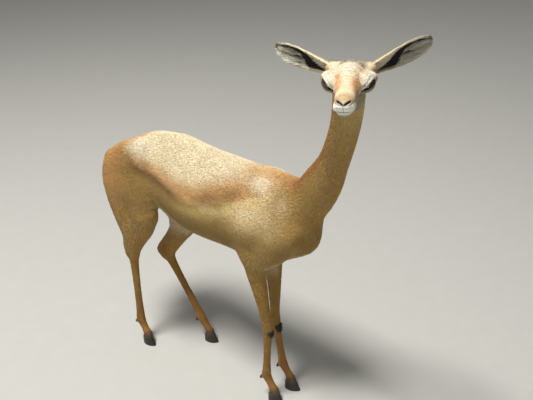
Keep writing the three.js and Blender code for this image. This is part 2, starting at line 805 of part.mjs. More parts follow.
// The line of the mouth, the cleft of the upper lip and the two nostrils, cut where rays leave the muzzle
const onMuzzle = (from, towards) => {
  const start = fromHead(from);
  const direction = unit(sub(fromHead(towards), start));
  return { at: add(start, direction.map((v) => v * reachTo(flesh, start, direction))), out: direction };
};
function groove(marks, halfWidth, depth) {
  return ringSolid(
    marks.map(({ at, out }, i) => {
      const along = unit(sub(marks[Math.min(i + 1, marks.length - 1)].at, marks[Math.max(i - 1, 0)].at));
      const across = unit(cross(along, out));
      const end = i === 0 || i === marks.length - 1 ? 0.4 : 1;
      return [
        [1, 2],
        [-1, 2],
        [0, -depth],
      ].map(([a, b]) => [0, 1, 2].map((c) => at[c] + across[c] * a * halfWidth * end + out[c] * (b < 0 ? b * end : b)));
    }),
  );
}
const mouth = Array.from({ length: 13 }, (_, i) => {
  const turn = radians(-102 + 17 * i);
  const rise = -36.5 + 6 * Math.sin(turn) ** 2;
  return onMuzzle([76, 0, rise], [76 + Math.cos(turn), Math.sin(turn), rise]);
});
const philtrum = [-22, -27, -32, -37].map((u) => onMuzzle([90, 0, u], [91, 0, u]));
const nostril = (side) =>
  [
    [12.5, -15.6],
    [10, -16.8],
    [6.5, -18.9],
    [3, -21],
  ].map(([s, u]) => onMuzzle([88, 0, -20], [122, side * s, u]));
for (const cutter of [
  groove(mouth, 1.4, 3.5),
  groove(philtrum, 1.2, 1.8),
  groove(nostril(1), 2.4, 5),
  groove(nostril(-1), 2.4, 5),
]) {
  head = head.subtract(cutter);
}
head = mainBody(head);

// The almond between the lids, as a prism along the gaze. Its inner corner is lower and nearer the nose.
function lidOpening(centre, gaze, back) {
  const along = unit(sub(back, gaze.map((v) => v * dot(back, gaze))));
  const up = fromHead([0, 0, 1]).map((v, i) => v - EYES_MIDDLE[i]);
  let rise = cross(gaze, along);
  if (dot(rise, up) < 0) rise = rise.map((v) => -v);
  const shape = [
    [-25, -7.5],
    [-13, -2.2],
    [-5, 3.2],
    [1, 5],
    [7, 5],
    [12, 3.4],
    [15, 1],
    [12, -0.9],
    [6, -2.4],
    [-1, -3.5],
    [-8, -4.9],
    [-15, -6.6],
  ];
  const [cos, sin] = [Math.cos(LID_SLOPE), Math.sin(LID_SLOPE)];
  const ring = (depth) =>
    shape.map(([p, q]) => {
      const [a, b] = [p * cos - q * sin, p * sin + q * cos];
      return [0, 1, 2].map((c) => centre[c] + along[c] * a + rise[c] * b + gaze[c] * depth);
    });
  return ringSolid([ring(9), ring(32)]);
}

place("head", head, COAT);
place("eye_left", eyes[0], EYE_GLOSS);
place("eye_right", eyes[1], EYE_GLOSS);

// Ears: a cupped leaf, given along its length (share, half width of its mouth, depth of the cup)
const EAR_PROFILE = [
  [0, 8, 12],
  [0.1, 11, 14],
  [0.22, 14, 15],
  [0.36, 17.5, 14.5],
  [0.5, 20.5, 13],
  [0.63, 21.5, 11],
  [0.75, 20, 8.5],
  [0.86, 15.5, 5.5],
  [0.95, 9, 3],
  [1, 3, 1],
];
const EAR_AXES = { left: [-0.3, 0.88, 0.38], right: [-0.3, 0.92, 0.26] };
const EAR_MOUTH = [0.84, 0.36, -0.42];
const EAR_START = [-60, 40, 24];

function earSolid(side) {
  const turn = ([f, s, u]) => sub(fromHead([f, side * s, u]), EYES_MIDDLE);
  const axis = unit(turn(side > 0 ? EAR_AXES.left : EAR_AXES.right));
  const mouthRaw = turn(EAR_MOUTH);
  const mouth = unit(sub(mouthRaw, axis.map((v) => v * dot(mouthRaw, axis))));
  const across = cross(axis, mouth);
  const start = fromHead([EAR_START[0], side * EAR_START[1], EAR_START[2]]);
  const spread = radians(78);
  const columns = 8;
  const sheet = (thick) =>
    EAR_PROFILE.map(([share, half, depth]) =>
      Array.from({ length: columns + 1 }, (_, j) => {
        const a = spread * (-1 + (2 * j) / columns);
        const x = (half * Math.sin(a)) / Math.sin(spread) + (thick * Math.sin(a));
        const z = (-depth * (Math.cos(a) - Math.cos(spread))) / (1 - Math.cos(spread)) - thick * Math.cos(a);
        const droop = 10 * share * share;
        return [0, 1, 2].map(
          (c) => start[c] + axis[c] * share * EAR_LENGTH + across[c] * x + mouth[c] * (z - droop),
        );
      }),
    );
  const rings = sheet(0).map((row, i) => [...row, ...sheet(EAR_WALL)[i].reverse()]);
  return ringSolid(rings);
}

const headOut = grown(head, 0.35);
for (const [name, side] of [["ear_left", 1], ["ear_right", -1]]) {
  place(name, mainBody(earSolid(side).subtract(headOut)), EAR_SKIN);
}

// Repeatable random numbers from 0 to 1
let seed = 20241;
const random = () => {
  seed = (seed * 16807) % 2147483647;
  return seed / 2147483647;
};

// A flat lock of hair, sunk at its root, that widens a little, bends and tapers to its end
function lock({ root, down, out, length, width, lift }) {
  const across = unit(cross(down, out));
  const rings = [
    [0, 0.9],
    [0.35, 1.1],
    [0.7, 0.75],
    [1, 0.1],
  ].map(([t, size]) => {
    const bend = lift * Math.sin(2.2 * t);
    const centre = root.map((v, c) => v + down[c] * length * t + out[c] * bend);
    return [
      [1, 0],
      [0, 0.32],
      [-1, 0],
      [0, -0.32],
    ].map(([a, b]) => centre.map((v, c) => v + (across[c] * a + out[c] * b) * (width / 2) * size));
  });
  return ringSolid(rings);
}

// Tail, with the long hair of its end
const tailPath = [[-452, 0, 798], [-492, 0, 780], [-516, 0, 740], [-523, 3, 690], [-524, 5, 640], [-519, 9, 590], [-515, 11, 570]];
let tail = limbPiece({
  path: tailPath,
  shares: evenly(12),
  startNormal: unit([-1, 0, -0.2]),
  endNormal: unit([0.2, 0.1, -1]),
  first: [0, 1, 0],
  around: 10,
  field: (p) => tubeDistance(TAIL, p),
}).subtract(grown(rump, 0.35));
const TAIL_LOCKS = 14;
for (let i = 0; i < TAIL_LOCKS; i++) {
  const turn = (2 * Math.PI * (i + 0.5 * random())) / TAIL_LOCKS;
  const out = unit([Math.cos(turn), Math.sin(turn), 0]);
  const down = unit([0.12 + 0.1 * out[0], 0.07 + 0.12 * out[1], -1]);
  const height = i % 2 ? 604 : 584;
  const share = (640 - height) / 50;
  const spine = between([-524, 5, 640], [-519, 9, 590], share);
  tail = tail.add(
    lock({ root: add(spine, out.map((v) => v * 4)), down, out, length: 62 + 16 * random(), width: 11, lift: 5 + 3 * random() }),
  );
}
place("tail", mainBody(tail), COAT);

// The brush of longer hair down the front of a knee
const KNEE_LOCKS = 9;
function kneeBrush(shank, { carpus, sign, brush }, shankDown) {
  const side = [0, 1, 0];
  const front = unit(cross(side, shankDown).map((v) => -v));
  const level = front[0] < 0 ? front.map((v) => -v) : front;
  let solid = shank;
  for (let i = 0; i < KNEE_LOCKS; i++) {
    const turn = radians(-62 + (124 * (i + 0.4 * random())) / KNEE_LOCKS);
    const out = unit(level.map((v, c) => v * Math.cos(turn) + side[c] * sign * Math.sin(turn)));
    const centre = add(carpus, shankDown.map((v) => v * (brush.drop + (i % 2 ? -8 : 6) * brush.size)));
    const reach = reachTo(flesh, centre, out) - 3.5;
    const root = add(centre, out.map((v) => v * reach));
    solid = solid.add(
      lock({
        root,
        down: shankDown,
        out,
        length: (34 + 8 * random()) * brush.size,
        width: 9.5,
        lift: (7.5 + 3 * random()) * brush.size,
      }),
    );
  }
  return mainBody(solid);
}

// A foot's two claws, narrow and pointed, flat on the ground. The outline is of the outer claw: forward, outward.
const CLAW_OUTLINE = [
  [-18, CLEFT / 2],
  [-19, 8],
  [-15.5, 15],
  [-6, CLAW_WIDTH],
  [8, CLAW_WIDTH + 0.5],
  [20, 15.5],
  [30, 10],
  [36.5, 4.5],
  [HOOF_LENGTH - 18, CLEFT / 2 + 0.6],
  [18, CLEFT / 2],
  [0, CLEFT / 2],
];

function claw(foot, side, plane) {
  const [cos, sin] = [Math.cos(radians(foot.yaw)), Math.sin(radians(foot.yaw))];
  const ring = (z, toe, size) =>
    CLAW_OUTLINE.map(([f, s]) => {
      const ahead = (f > 0 ? f * toe : f) * size;
      const out = side * (CLEFT / 2 + (s - CLEFT / 2) * size);
      return [foot.coronet[0] + ahead * cos - out * sin, foot.coronet[1] + ahead * sin + out * cos, z];
    });
  const solid = ringSolid([ring(0, 1, 0.95), ring(3, 1, 1), ring(20, 0.78, 0.99), ring(60, 0.3, 0.9)]);
  return mainBody(trim(solid, plane, 1));
}

// Legs. Each is parted above the knee or hock, above the fetlock and at the coronet.
const along = (a, b) => unit(sub(b, a));
for (const [name, foot] of Object.entries(FORELEGS)) {
  const { elbow, carpus, fetlock, coronet } = foot;
  const top = between(elbow, carpus, (elbow[2] - CUTS.elbow[0][2]) / (elbow[2] - carpus[2]));
  const knee = between(elbow, carpus, 0.88);
  const ankle = between(carpus, fetlock, 0.86);
  const armDown = along(elbow, carpus);
  const shankDown = along(carpus, fetlock);
  const toeDown = along(fetlock, coronet);
  place(
    `forearm_${name}`,
    limbPiece({ path: [top, knee], shares: evenly(8), startNormal: [0, 0, -1], endNormal: armDown, stretch: 1.3 }),
    COAT,
  );
  const shank = limbPiece({
    path: [knee, carpus, ankle],
    shares: evenly(11),
    startNormal: armDown,
    endNormal: shankDown,
    around: 12,
  });
  place(`foreshank_${name}`, kneeBrush(shank, foot, shankDown), COAT);
  place(
    `forefoot_${name}`,
    limbPiece({ path: [ankle, fetlock, coronet], shares: evenly(7), startNormal: shankDown, endNormal: toeDown, around: 12 }),
    COAT,
  );
  place(`hoof_fore_${name}_outer`, claw(foot, foot.sign, [coronet, toeDown]), HORN);
  place(`hoof_fore_${name}_inner`, claw(foot, -foot.sign, [coronet, toeDown]), HORN);
}
const HOCK_RINGS = [0, 0.04, 0.08, 0.12, 0.16, 0.2, 0.26, 0.36, 0.52, 0.7, 0.86, 1];
for (const [name, foot] of Object.entries(HIND_LEGS)) {
  const { stifle, hock, fetlock, coronet, sign } = foot;
  const shank = (t) => between(stifle, hock, t);
  const [planePoint, planeNormal] = CUTS.thigh;
  const topX = -378;
  const top = [topX, sign * 78, planePoint[2] - (planeNormal[0] / planeNormal[2]) * (topX - planePoint[0])];
  const middle = add(shank(0.4), [-22, 0, 0]);
  const knee = add(shank(0.86), [-6, 0, 0]);
  const ankle = between(hock, fetlock, 0.86);
  const shankDown = along(stifle, hock);
  const cannonDown = along(hock, fetlock);
  const toeDown = along(fetlock, coronet);
  place(
    `thigh_${name}`,
    limbPiece({
      path: [top, middle],
      shares: evenly(6),
      startNormal: planeNormal.map((v) => -v),
      endNormal: shankDown,
      around: 20,
      stretch: 1.7,
    }),
    COAT,
  );
  place(
    `gaskin_${name}`,
    limbPiece({ path: [middle, knee], shares: evenly(7), startNormal: shankDown, endNormal: shankDown, around: 14, stretch: 1.3 }),
    COAT,
  );
  place(
    `hindshank_${name}`,
    limbPiece({ path: [knee, hock, ankle], shares: HOCK_RINGS, startNormal: shankDown, endNormal: cannonDown, around: 12 }),
    COAT,
  );
  place(
    `hindfoot_${name}`,
    limbPiece({ path: [ankle, fetlock, coronet], shares: evenly(7), startNormal: cannonDown, endNormal: toeDown, around: 12 }),
    COAT,
  );
  place(`hoof_hind_${name}_outer`, claw(foot, sign, [coronet, toeDown]), HORN);
  place(`hoof_hind_${name}_inner`, claw(foot, -sign, [coronet, toeDown]), HORN);
}

// The middle of the animal's length and width goes to the origin
const middle = new THREE.Box3().setFromObject(group).getCenter(new THREE.Vector3());
group.position.set(-middle.x, -middle.y, 0);

export default group;
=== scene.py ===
"""A gerenuk as a museum model: one skin of flesh, its short coat, ears, eyes, claws and a studio.

Shapes are worked out in the animal's own frame in millimetres: +X from rump to chest, +Y to its left, +Z up.
`Placement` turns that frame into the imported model's frame in metres.
"""

import logging
import math
from dataclasses import dataclass, field
from enum import Enum
from typing import Callable, Sequence

import bpy
import numpy as np
from mathutils import Matrix, Vector


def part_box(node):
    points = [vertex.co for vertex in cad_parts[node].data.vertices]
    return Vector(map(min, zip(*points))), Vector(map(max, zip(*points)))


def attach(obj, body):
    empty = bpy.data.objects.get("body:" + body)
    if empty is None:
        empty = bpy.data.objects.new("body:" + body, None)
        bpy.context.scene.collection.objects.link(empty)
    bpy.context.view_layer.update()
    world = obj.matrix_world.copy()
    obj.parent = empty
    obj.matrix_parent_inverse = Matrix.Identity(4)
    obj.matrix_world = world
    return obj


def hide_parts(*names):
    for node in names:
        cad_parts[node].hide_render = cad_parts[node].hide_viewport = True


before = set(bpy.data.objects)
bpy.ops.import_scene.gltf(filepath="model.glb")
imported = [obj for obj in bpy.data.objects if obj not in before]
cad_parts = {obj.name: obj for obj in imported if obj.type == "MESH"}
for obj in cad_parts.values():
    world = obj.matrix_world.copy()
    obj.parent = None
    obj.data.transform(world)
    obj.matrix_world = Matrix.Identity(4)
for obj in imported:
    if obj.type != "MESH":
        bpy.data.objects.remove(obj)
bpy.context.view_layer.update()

LOG = logging.getLogger("gerenuk")
Array = np.ndarray
Triple = tuple[float, float, float]
Rows = Sequence[Sequence[float]]
Measure = Callable[[Array], Array]
Material, Piece = bpy.types.Material, bpy.types.Object
FAR = 90.0  # millimetres from a tube past which only the distance to its box is worked out
SIDES = ((1.0, "left"), (-1.0, "right"))


class Side(Enum):
    """The animal's own sides, as the sign of +Y."""

    LEFT = 1
    RIGHT = -1


# Numbers on whole arrays


def unit(v: Array) -> Array:
    """Vectors along the last axis, scaled to length 1."""
    v = np.asarray(v, float)
    return v / np.maximum(np.linalg.norm(v, axis=-1, keepdims=True), 1e-12)


def lengths(v: Array) -> Array:
    """The length of each row."""
    return np.linalg.norm(v, axis=1)


def mix(a: Array, b: Array, t: Array) -> Array:
    """a where t is 0, b where t is 1, and in proportion between."""
    return a + (b - a) * t


def ease(x: Array, low: float, high: float) -> Array:
    """0 below low and 1 above high, with an S-curve 3t^2 - 2t^3 between them."""
    t = np.clip((np.asarray(x, float) - low) / (high - low), 0.0, 1.0)
    return t * t * (3.0 - 2.0 * t)


def bump(x: Array, middle: float, width: float) -> Array:
    """A bell exp(-((x - middle) / width)^2)."""
    return np.exp(-(((np.asarray(x, float) - middle) / width) ** 2))


def blend(a: Array, b: Array, k: float) -> Array:
    """The smaller of two distances, rounded where they differ by less than k: min(a, b) - h^2 k / 4."""
    h = np.maximum(k - np.abs(a - b), 0.0) / k
    return np.minimum(a, b) - h * h * k / 4.0


def square_to(v: Array, axis: Array) -> Array:
    """Each vector less its part along an axis, scaled to length 1."""
    return unit(v - axis * (v * axis).sum(axis=1)[:, None])


def curve(stations: Rows, steps: int) -> Array:
    """Catmull-Rom rows through stations.

    Args:
        stations: the rows to pass through.
        steps: rows made for each span.

    Returns:
        The rows, the last station included.
    """
    s = np.asarray(stations, float)
    count = len(s)
    i = np.arange(count - 1)
    p, a, b, n = s[np.maximum(i - 1, 0)], s[i], s[i + 1], s[np.minimum(i + 2, count - 1)]
    t = (np.arange(steps) / steps)[None, :, None]
    p, a, b, n = (row[:, None, :] for row in (p, a, b, n))
    m0, m1 = (b - p) / 2.0, (n - a) / 2.0
    rows = (2 * t**3 - 3 * t**2 + 1) * a + (t**3 - 2 * t**2 + t) * m0 + (3 * t**2 - 2 * t**3) * b + (t**3 - t**2) * m1
    return np.vstack([rows.reshape(-1, s.shape[1]), s[-1:]])


def noise(points: Array, size: float, seed: int) -> Array:
    """Smooth random numbers from -1 to 1: hashed lattice values, joined by an S-curve along each axis.

    Args:
        points: places.
        size: lattice spacing.
        seed: which random field.

    Returns:
        One value for each point.
    """
    q = points / size + 1000.0 + seed * 17.0
    base = np.floor(q).astype(np.int64)
    t = q - base
    t = t * t * (3.0 - 2.0 * t)
    total = np.zeros(len(points))
    for corner in range(8):
        offset = np.array([corner & 1, corner >> 1 & 1, corner >> 2 & 1])
        cell = base + offset
        h = (cell[:, 0] * 73856093) ^ (cell[:, 1] * 19349663) ^ (cell[:, 2] * 83492791) ^ (seed * 2654435761)
        h = (h ^ (h >> 13)) * 1274126177
        value = ((h ^ (h >> 16)) & 0xFFFF) / 32767.5 - 1.0
        weight = np.prod(np.where(offset == 1, t, 1.0 - t), axis=1)
        total += value * weight
    return total


# The blended form


class Tube:
    """A tube of half-oval sections along a Catmull-Rom axis.

    Each station is [x, y, z, half width, height above, depth below]. Widths lie along `side`, and the heights across
    it. A point's distance is measured along the ray from the nearest axis point to the edge of the oval there.
    """

    def __init__(self, stations: Rows, side: Sequence[float] = (0, 1, 0), steps: int = 3) -> None:
        """Cuts the axis into straight segments, each with its own frame.

        Args:
            stations: the rows to pass through.
            side: the direction that the widths lie along.
            steps: segments for each span.
        """
        rows = curve(stations, steps)
        self.rows = rows
        self.a, self.b = rows[:-1], rows[1:]
        along = self.b[:, :3] - self.a[:, :3]
        self.length = lengths(along)
        self.axis = unit(along)
        side_row = np.asarray(side, float)
        self.across = unit(side_row - self.axis * (self.axis @ side_row)[:, None])
        self.rise = np.cross(self.axis, self.across)
        reach = rows[:, 3:].max()
        self.low = rows[:, :3].min(axis=0) - reach
        self.high = rows[:, :3].max(axis=0) + reach

    def distance(self, p: Array) -> Array:
        """Distance of each point, negative inside. Far points get the distance to the tube's box.

        Args:
            p: points.

        Returns:
            Distances.
        """
        gap = np.maximum(np.maximum(self.low - p, p - self.high), 0.0)
        out = np.sqrt((gap * gap).sum(axis=1))
        close = out <= FAR
        if not close.any():
            return out
        q = p[close]
        best = np.full(len(q), np.inf)
        for i in range(len(self.length)):
            d = q - self.a[i, :3]
            along = d @ self.axis[i]
            t = np.clip(along / self.length[i], 0.0, 1.0)
            end = along - t * self.length[i]
            x = d @ self.across[i]
            z = d @ self.rise[i]
            size = self.a[i, 3:] + (self.b[i, 3:] - self.a[i, 3:]) * t[:, None]
            width = size[:, 0]
            height = np.where(z > 0, size[:, 1], size[:, 2])
            cap = np.minimum(width, height)
            scaled = np.sqrt((x / width) ** 2 + (z / height) ** 2 + (end / cap) ** 2)
            span = np.sqrt(x * x + z * z + end * end)
            value = np.where(scaled < 1e-6, -cap, span * (1.0 - 1.0 / np.maximum(scaled, 1e-6)))
            np.minimum(best, value, out=best)
        out[close] = best
        return out


@dataclass(frozen=True)
class Leg:
    """Bony points of one leg, with its foot's heading in degrees."""

    side: Side
    top: Triple
    middle: Triple
    knee: Triple
    fetlock: Triple
    coronet: Triple
    yaw: float
    rear: tuple[tuple[float, float, float, float], ...] = ()

    def joints(self) -> tuple[Array, ...]:
        """The five bony points, from the top down."""
        return tuple(np.asarray(v, float) for v in (self.top, self.middle, self.knee, self.fetlock, self.coronet))

    def toe(self) -> Array:
        """The way the pastern points, from fetlock to coronet."""
        return unit(self.joints()[4] - self.joints()[3])


FORELEGS = (
    Leg(Side.RIGHT, (292, -62, 702), (165, -60, 580), (206, -45, 305), (197, -45, 100), (229, -45, 42), -2.0),
    Leg(Side.LEFT, (292, 62, 702), (156, 58, 580), (178, 37, 284), (210, 38, 98), (242, 40, 42), 4.0),
)
HIND_LEGS = (
    Leg(Side.RIGHT, (-355, -52, 775), (-292, -84, 612), (-394, -76, 414), (-398, -78, 102), (-366, -80, 42), -6.0,
        ((-426, 768, 62, 78), (-430, 704, 66, 88), (-426, 628, 66, 70), (-410, 560, 60, 50), (-397, 505, 44, 38),
         (-394, 458, 26, 27))),
    Leg(Side.LEFT, (-350, 52, 775), (-216, 84, 590), (-363, 70, 347), (-206, 70, 100), (-172, 73, 42), 5.0,
        ((-426, 768, 62, 78), (-426, 706, 66, 86), (-400, 642, 62, 66), (-354, 588, 56, 50), (-316, 545, 46, 38),
         (-304, 510, 36, 30))),
)


def station(point: Array, width: float, front: float, back: float | None = None) -> list[float]:
    """A tube station whose depth is its height unless it is given."""
    return [*np.asarray(point, float), width, front, front if back is None else back]


def stations_between(a: Array, b: Array, rows: Rows) -> list[list[float]]:
    """Stations on the way from a to b, each row as [share of the way, width, front, back]."""
    return [station(mix(a, b, share), *sizes) for share, *sizes in rows]


def pastern(fetlock: Array, coronet: Array, depth: float) -> list[list[float]]:
    """The stations from below the fetlock to inside the claws."""
    return [station(mix(fetlock, coronet, 0.5), 14.5, depth), station(coronet, 18, 17.5, 16.5),
            station(coronet + (8, 0, -16), 18, 17.5, 16.5)]


def dewclaws(fetlock: Array, behind: float) -> Tube:
    """The two dewclaws, as one short bar across the back of the fetlock."""
    return Tube([station(fetlock + (-behind, y, -13), 6, 7) for y in (-9, 9)], (1, 0, 0))


@dataclass
class HeadFrame:
    """The head's own frame: forward to the muzzle, side to the animal's left, up through the crown."""

    origin: Triple = (590.0, -266.0, 1273.0)
    yaw: float = -65.5
    pitch: float = 9.5
    roll: float = 1.5
    axes: Array = field(init=False)

    def __post_init__(self) -> None:
        """Turns about up, then side, then forward."""
        z, y, x = (math.radians(v) for v in (self.yaw, -self.pitch, self.roll))
        rz = np.array([[math.cos(z), -math.sin(z), 0], [math.sin(z), math.cos(z), 0], [0, 0, 1]])
        ry = np.array([[math.cos(y), 0, math.sin(y)], [0, 1, 0], [-math.sin(y), 0, math.cos(y)]])
        rx = np.array([[1, 0, 0], [0, math.cos(x), -math.sin(x)], [0, math.sin(x), math.cos(x)]])
        self.axes = rz @ ry @ rx

    def inward(self, p: Array) -> Array:
        """Animal frame to head frame."""
        return (p - np.asarray(self.origin)) @ self.axes

    def outward(self, q: Array) -> Array:
        """Head frame to animal frame."""
        return np.asarray(q, float) @ self.axes.T + np.asarray(self.origin)

    def turn(self, v: Array) -> Array:
        """A direction of the head frame in the animal frame."""
        return np.asarray(v, float) @ self.axes.T


@dataclass
class Flesh:
    """The whole animal's blended form, from nose to coronets, and what each place of it is made of."""

    head: HeadFrame = field(default_factory=HeadFrame)
    eye: Triple = (14.0, 35.0, 6.5)
    eye_radius: float = 17.0
    trunk: Tube = field(init=False)
    neck: Tube = field(init=False)
    tail: Tube = field(init=False)
    fore: list[dict[str, Tube]] = field(init=False)
    hind: list[dict[str, Tube]] = field(init=False)
    face: dict[str, Tube] = field(init=False)

    def __post_init__(self) -> None:
        """Lays the tubes along the bones and muscles."""
        self.trunk = Tube([
            [-478, 0, 768, 40, 30, 62], [-450, 0, 768, 56, 44, 84], [-405, 0, 764, 72, 78, 96],
            [-335, 0, 758, 90, 113, 110], [-265, 0, 752, 97, 142, 120], [-195, 0, 744, 99, 168, 134],
            [-120, 0, 733, 106, 166, 164], [-40, 0, 726, 114, 160, 162], [45, 0, 722, 116, 158, 156],
            [125, 0, 720, 108, 156, 160], [200, 0, 722, 95, 156, 158], [265, 0, 728, 76, 142, 130],
            [312, 0, 740, 54, 102, 104], [334, 0, 748, 36, 56, 62]])
        self.neck = Tube([
            [262, 0, 770, 62, 84, 84], [330, 0, 825, 54, 60, 76], [384, -10, 892, 47, 58, 60],
            [425, -27, 968, 38, 45, 45], [459, -54, 1042, 35, 41, 42], [489, -86, 1112, 34, 40, 41],
            [514, -124, 1180, 34, 40, 42], [532, -158, 1232, 34, 39, 42], [550, -190, 1262, 34, 34, 40]])
        self.tail = Tube([
            [-432, 0, 806, 26, 26, 26], [-480, 0, 794, 22, 19, 19], [-512, 0, 756, 17, 15, 15],
            [-523, 2, 700, 13, 12, 12], [-524, 5, 640, 11, 10, 10], [-519, 9, 590, 12, 10, 10],
            [-513, 12, 560, 7, 6, 6]])
        self.fore = [self._foreleg(leg) for leg in FORELEGS]
        self.hind = [self._hind_leg(leg) for leg in HIND_LEGS]
        self.face = {
            "skull": Tube([
                [-88, 0, 6, 26, 26, 32], [-62, 0, 12, 35, 34, 38], [-32, 0, 11, 39, 39, 40], [0, 0, 6, 37, 35, 40],
                [30, 0, -1, 30, 28, 35], [60, 0, -9, 24, 22, 27], [90, 0, -15, 22, 18, 22],
                [110, 0, -20, 20.5, 15, 18], [119, 0, -22, 17, 11, 14]]),
            "cheek": Tube([[-48, 21, -26, 13, 24, 22], [-15, 19, -28, 14, 20, 18], [25, 17, -26, 11, 14, 14]]),
            "jaw": Tube([
                [-58, 16, -38, 9, 14, 12], [-20, 13, -48, 9, 12, 8], [40, 9, -45, 8, 9, 7],
                [88, 3, -41.5, 9, 8, 7.5], [106, 0, -42, 10, 8, 6.5]]),
            "orbit": Tube([[-10, 35, 7, 16.5, 16, 16], [13, 33, 6, 15.5, 14, 13]]),
            "brow": Tube([[-24, 36, 16, 15, 13, 13], [-3, 44, 15, 16, 15, 15], [20, 34, 8, 12, 12, 12]]),
            "lip": Tube([[86, 11, -27, 12, 12, 12.5], [113, 11, -28, 11.5, 11, 9.5]]),
            "ear_root": Tube([[-50, 24, 18, 19, 22, 22], [-58, 42, 28, 14, 16, 16]], (1, 0, 0)),
        }

    def _foreleg(self, leg: Leg) -> dict[str, Tube]:
        """Shoulder blade, upper arm and foreleg down to the coronet.

        Args:
            leg: its bony points.

        Returns:
            The tubes, by name.
        """
        sign = leg.side.value
        shoulder, elbow, carpus, fetlock, coronet = leg.joints()
        return {
            "blade": Tube([station((182, sign * 46, 826), 22, 30), station((228, sign * 58, 770), 30, 48),
                           station(shoulder, 32, 44)]),
            "arm": Tube([station(shoulder, 32, 42), station((240, sign * 65, 640), 34, 50),
                         station(elbow + (6, 0, 4), 30, 44)]),
            "triceps": Tube([station((196, sign * 62, 750), 30, 48), station((150, sign * 64, 660), 30, 44),
                             station(elbow + (-22, 0, 16), 20, 22)]),
            "leg": Tube([
                *stations_between(elbow, carpus, (
                    (-0.08, 29, 44, 42), (0.16, 28, 37, 38), (0.42, 24, 30, 27), (0.66, 19.5, 24, 20),
                    (0.86, 17, 19, 17))),
                station(carpus, 18.5, 20, 19),
                *stations_between(carpus, fetlock, (
                    (0.17, 16.5, 17, 16.5), (0.42, 13.5, 14, 14.5), (0.72, 13, 14, 15), (0.9, 15, 16.5, 17))),
                station(fetlock, 16.5, 18, 18.5), *pastern(fetlock, coronet, 14)]),
            "dewclaws": dewclaws(fetlock, 19),
        }

    def _hind_leg(self, leg: Leg) -> dict[str, Tube]:
        """Haunch, thigh, gaskin, hock and hind leg down to the coronet.

        Args:
            leg: its bony points.

        Returns:
            The tubes, by name.
        """
        sign = leg.side.value
        hip, stifle, hock, fetlock, coronet = leg.joints()
        up, down = unit(hock - fetlock), unit(hock - stifle)
        behind = np.array([down[2], 0, -down[0]])
        hock_point = hock + 30 * up + 35 * np.array([-up[2], 0, up[0]])
        sides, widths = (44, 54, 65, 74, 77, 76), (48, 48, 41, 33, 26, 20)
        return {
            "haunch": Tube([station((-262, sign * 58, 838), 36, 38), station((-340, sign * 52, 822), 40, 44),
                            station((-412, sign * 36, 772), 42, 44)]),
            "thigh": Tube([station(hip + (0, sign * 6, 0), 50, 92),
                           station(mix(hip, stifle, 0.5) + (-6, sign * 2, 0), 48, 84), station(stifle, 34, 58, 54)]),
            "hamstring": Tube([station((x, sign * side, z), width, ahead, back)
                               for (x, z, ahead, back), side, width in zip(leg.rear, sides, widths)]),
            "gaskin": Tube([station(stifle + (-6, 0, -6), 36, 56),
                            *stations_between(stifle, hock, (
                                (0.3, 33, 52, 50), (0.58, 26, 38, 36), (0.82, 20, 29, 25))),
                            station(hock, 19, 27, 23)]),
            "tendon": Tube([station(mix(stifle, hock, 0.5) + 30 * behind, 14, 16),
                            station(mix(stifle, hock, 0.74) + 36 * behind, 10, 12), station(hock_point, 11, 11),
                            station(hock + (-18 * up[2], 0, 18 * up[0]), 13, 14)]),
            "leg": Tube([
                station(hock + 14 * up, 19, 26, 24), station(hock - 14 * up, 18.5, 23, 22),
                *stations_between(hock, fetlock, (
                    (0.18, 15.5, 17.5, 18), (0.42, 13.5, 15.5, 16), (0.72, 13.5, 15.5, 16), (0.9, 15.5, 17.5, 18))),
                station(fetlock, 17, 19, 20), *pastern(fetlock, coronet, 15)]),
            "dewclaws": dewclaws(fetlock, 20),
        }

    def head_distance(self, p: Array) -> Array:
        """Distance to the head's forms. Paired forms are given once, and the side is folded on to them.

        Args:
            p: points in the animal frame.

        Returns:
            Distances, negative inside.
        """
        q = self.head.inward(p)
        q[:, 1] = np.abs(q[:, 1])
        f = self.face
        d = blend(f["skull"].distance(q), f["cheek"].distance(q), 16)
        for name, k in (("jaw", 22), ("orbit", 12), ("brow", 10), ("lip", 5), ("ear_root", 18)):
            d = blend(d, f[name].distance(q), k)
        lids = lengths(q - np.asarray(self.eye)) - self.eye_radius - 4.2
        return blend(d, lids, 6)

    def distance(self, p: Array) -> Array:
        """Distance to the flesh. Each blend's last number is how widely, in millimetres, its two forms round together.

        Args:
            p: points in the animal frame.

        Returns:
            Distances, negative inside.
        """
        d = blend(self.trunk.distance(p), self.neck.distance(p), 36)
        for leg in self.fore:
            shoulder = blend(leg["blade"].distance(p), leg["arm"].distance(p), 30)
            d = blend(d, blend(shoulder, leg["triceps"].distance(p), 30), 36)
            d = blend(d, leg["leg"].distance(p), 26)
            d = blend(d, leg["dewclaws"].distance(p), 12)
        for leg in self.hind:
            thigh = blend(leg["thigh"].distance(p), leg["hamstring"].distance(p), 34)
            shank = blend(leg["gaskin"].distance(p), leg["leg"].distance(p), 14)
            d = blend(d, leg["haunch"].distance(p), 40)
            d = blend(d, blend(thigh, blend(shank, leg["tendon"].distance(p), 26), 26), 30)
            d = blend(d, leg["dewclaws"].distance(p), 12)
        d = blend(d, self.tail.distance(p), 10)
        head = self.head_distance(p)
        return np.where((d < FAR) | (head < FAR), blend(d, head, 22), np.minimum(d, head))

    def eye_centre(self, side: float) -> Array:
        """The middle of one eye's ball in the head frame."""
        return np.array([self.eye[0], side * self.eye[1], self.eye[2]])


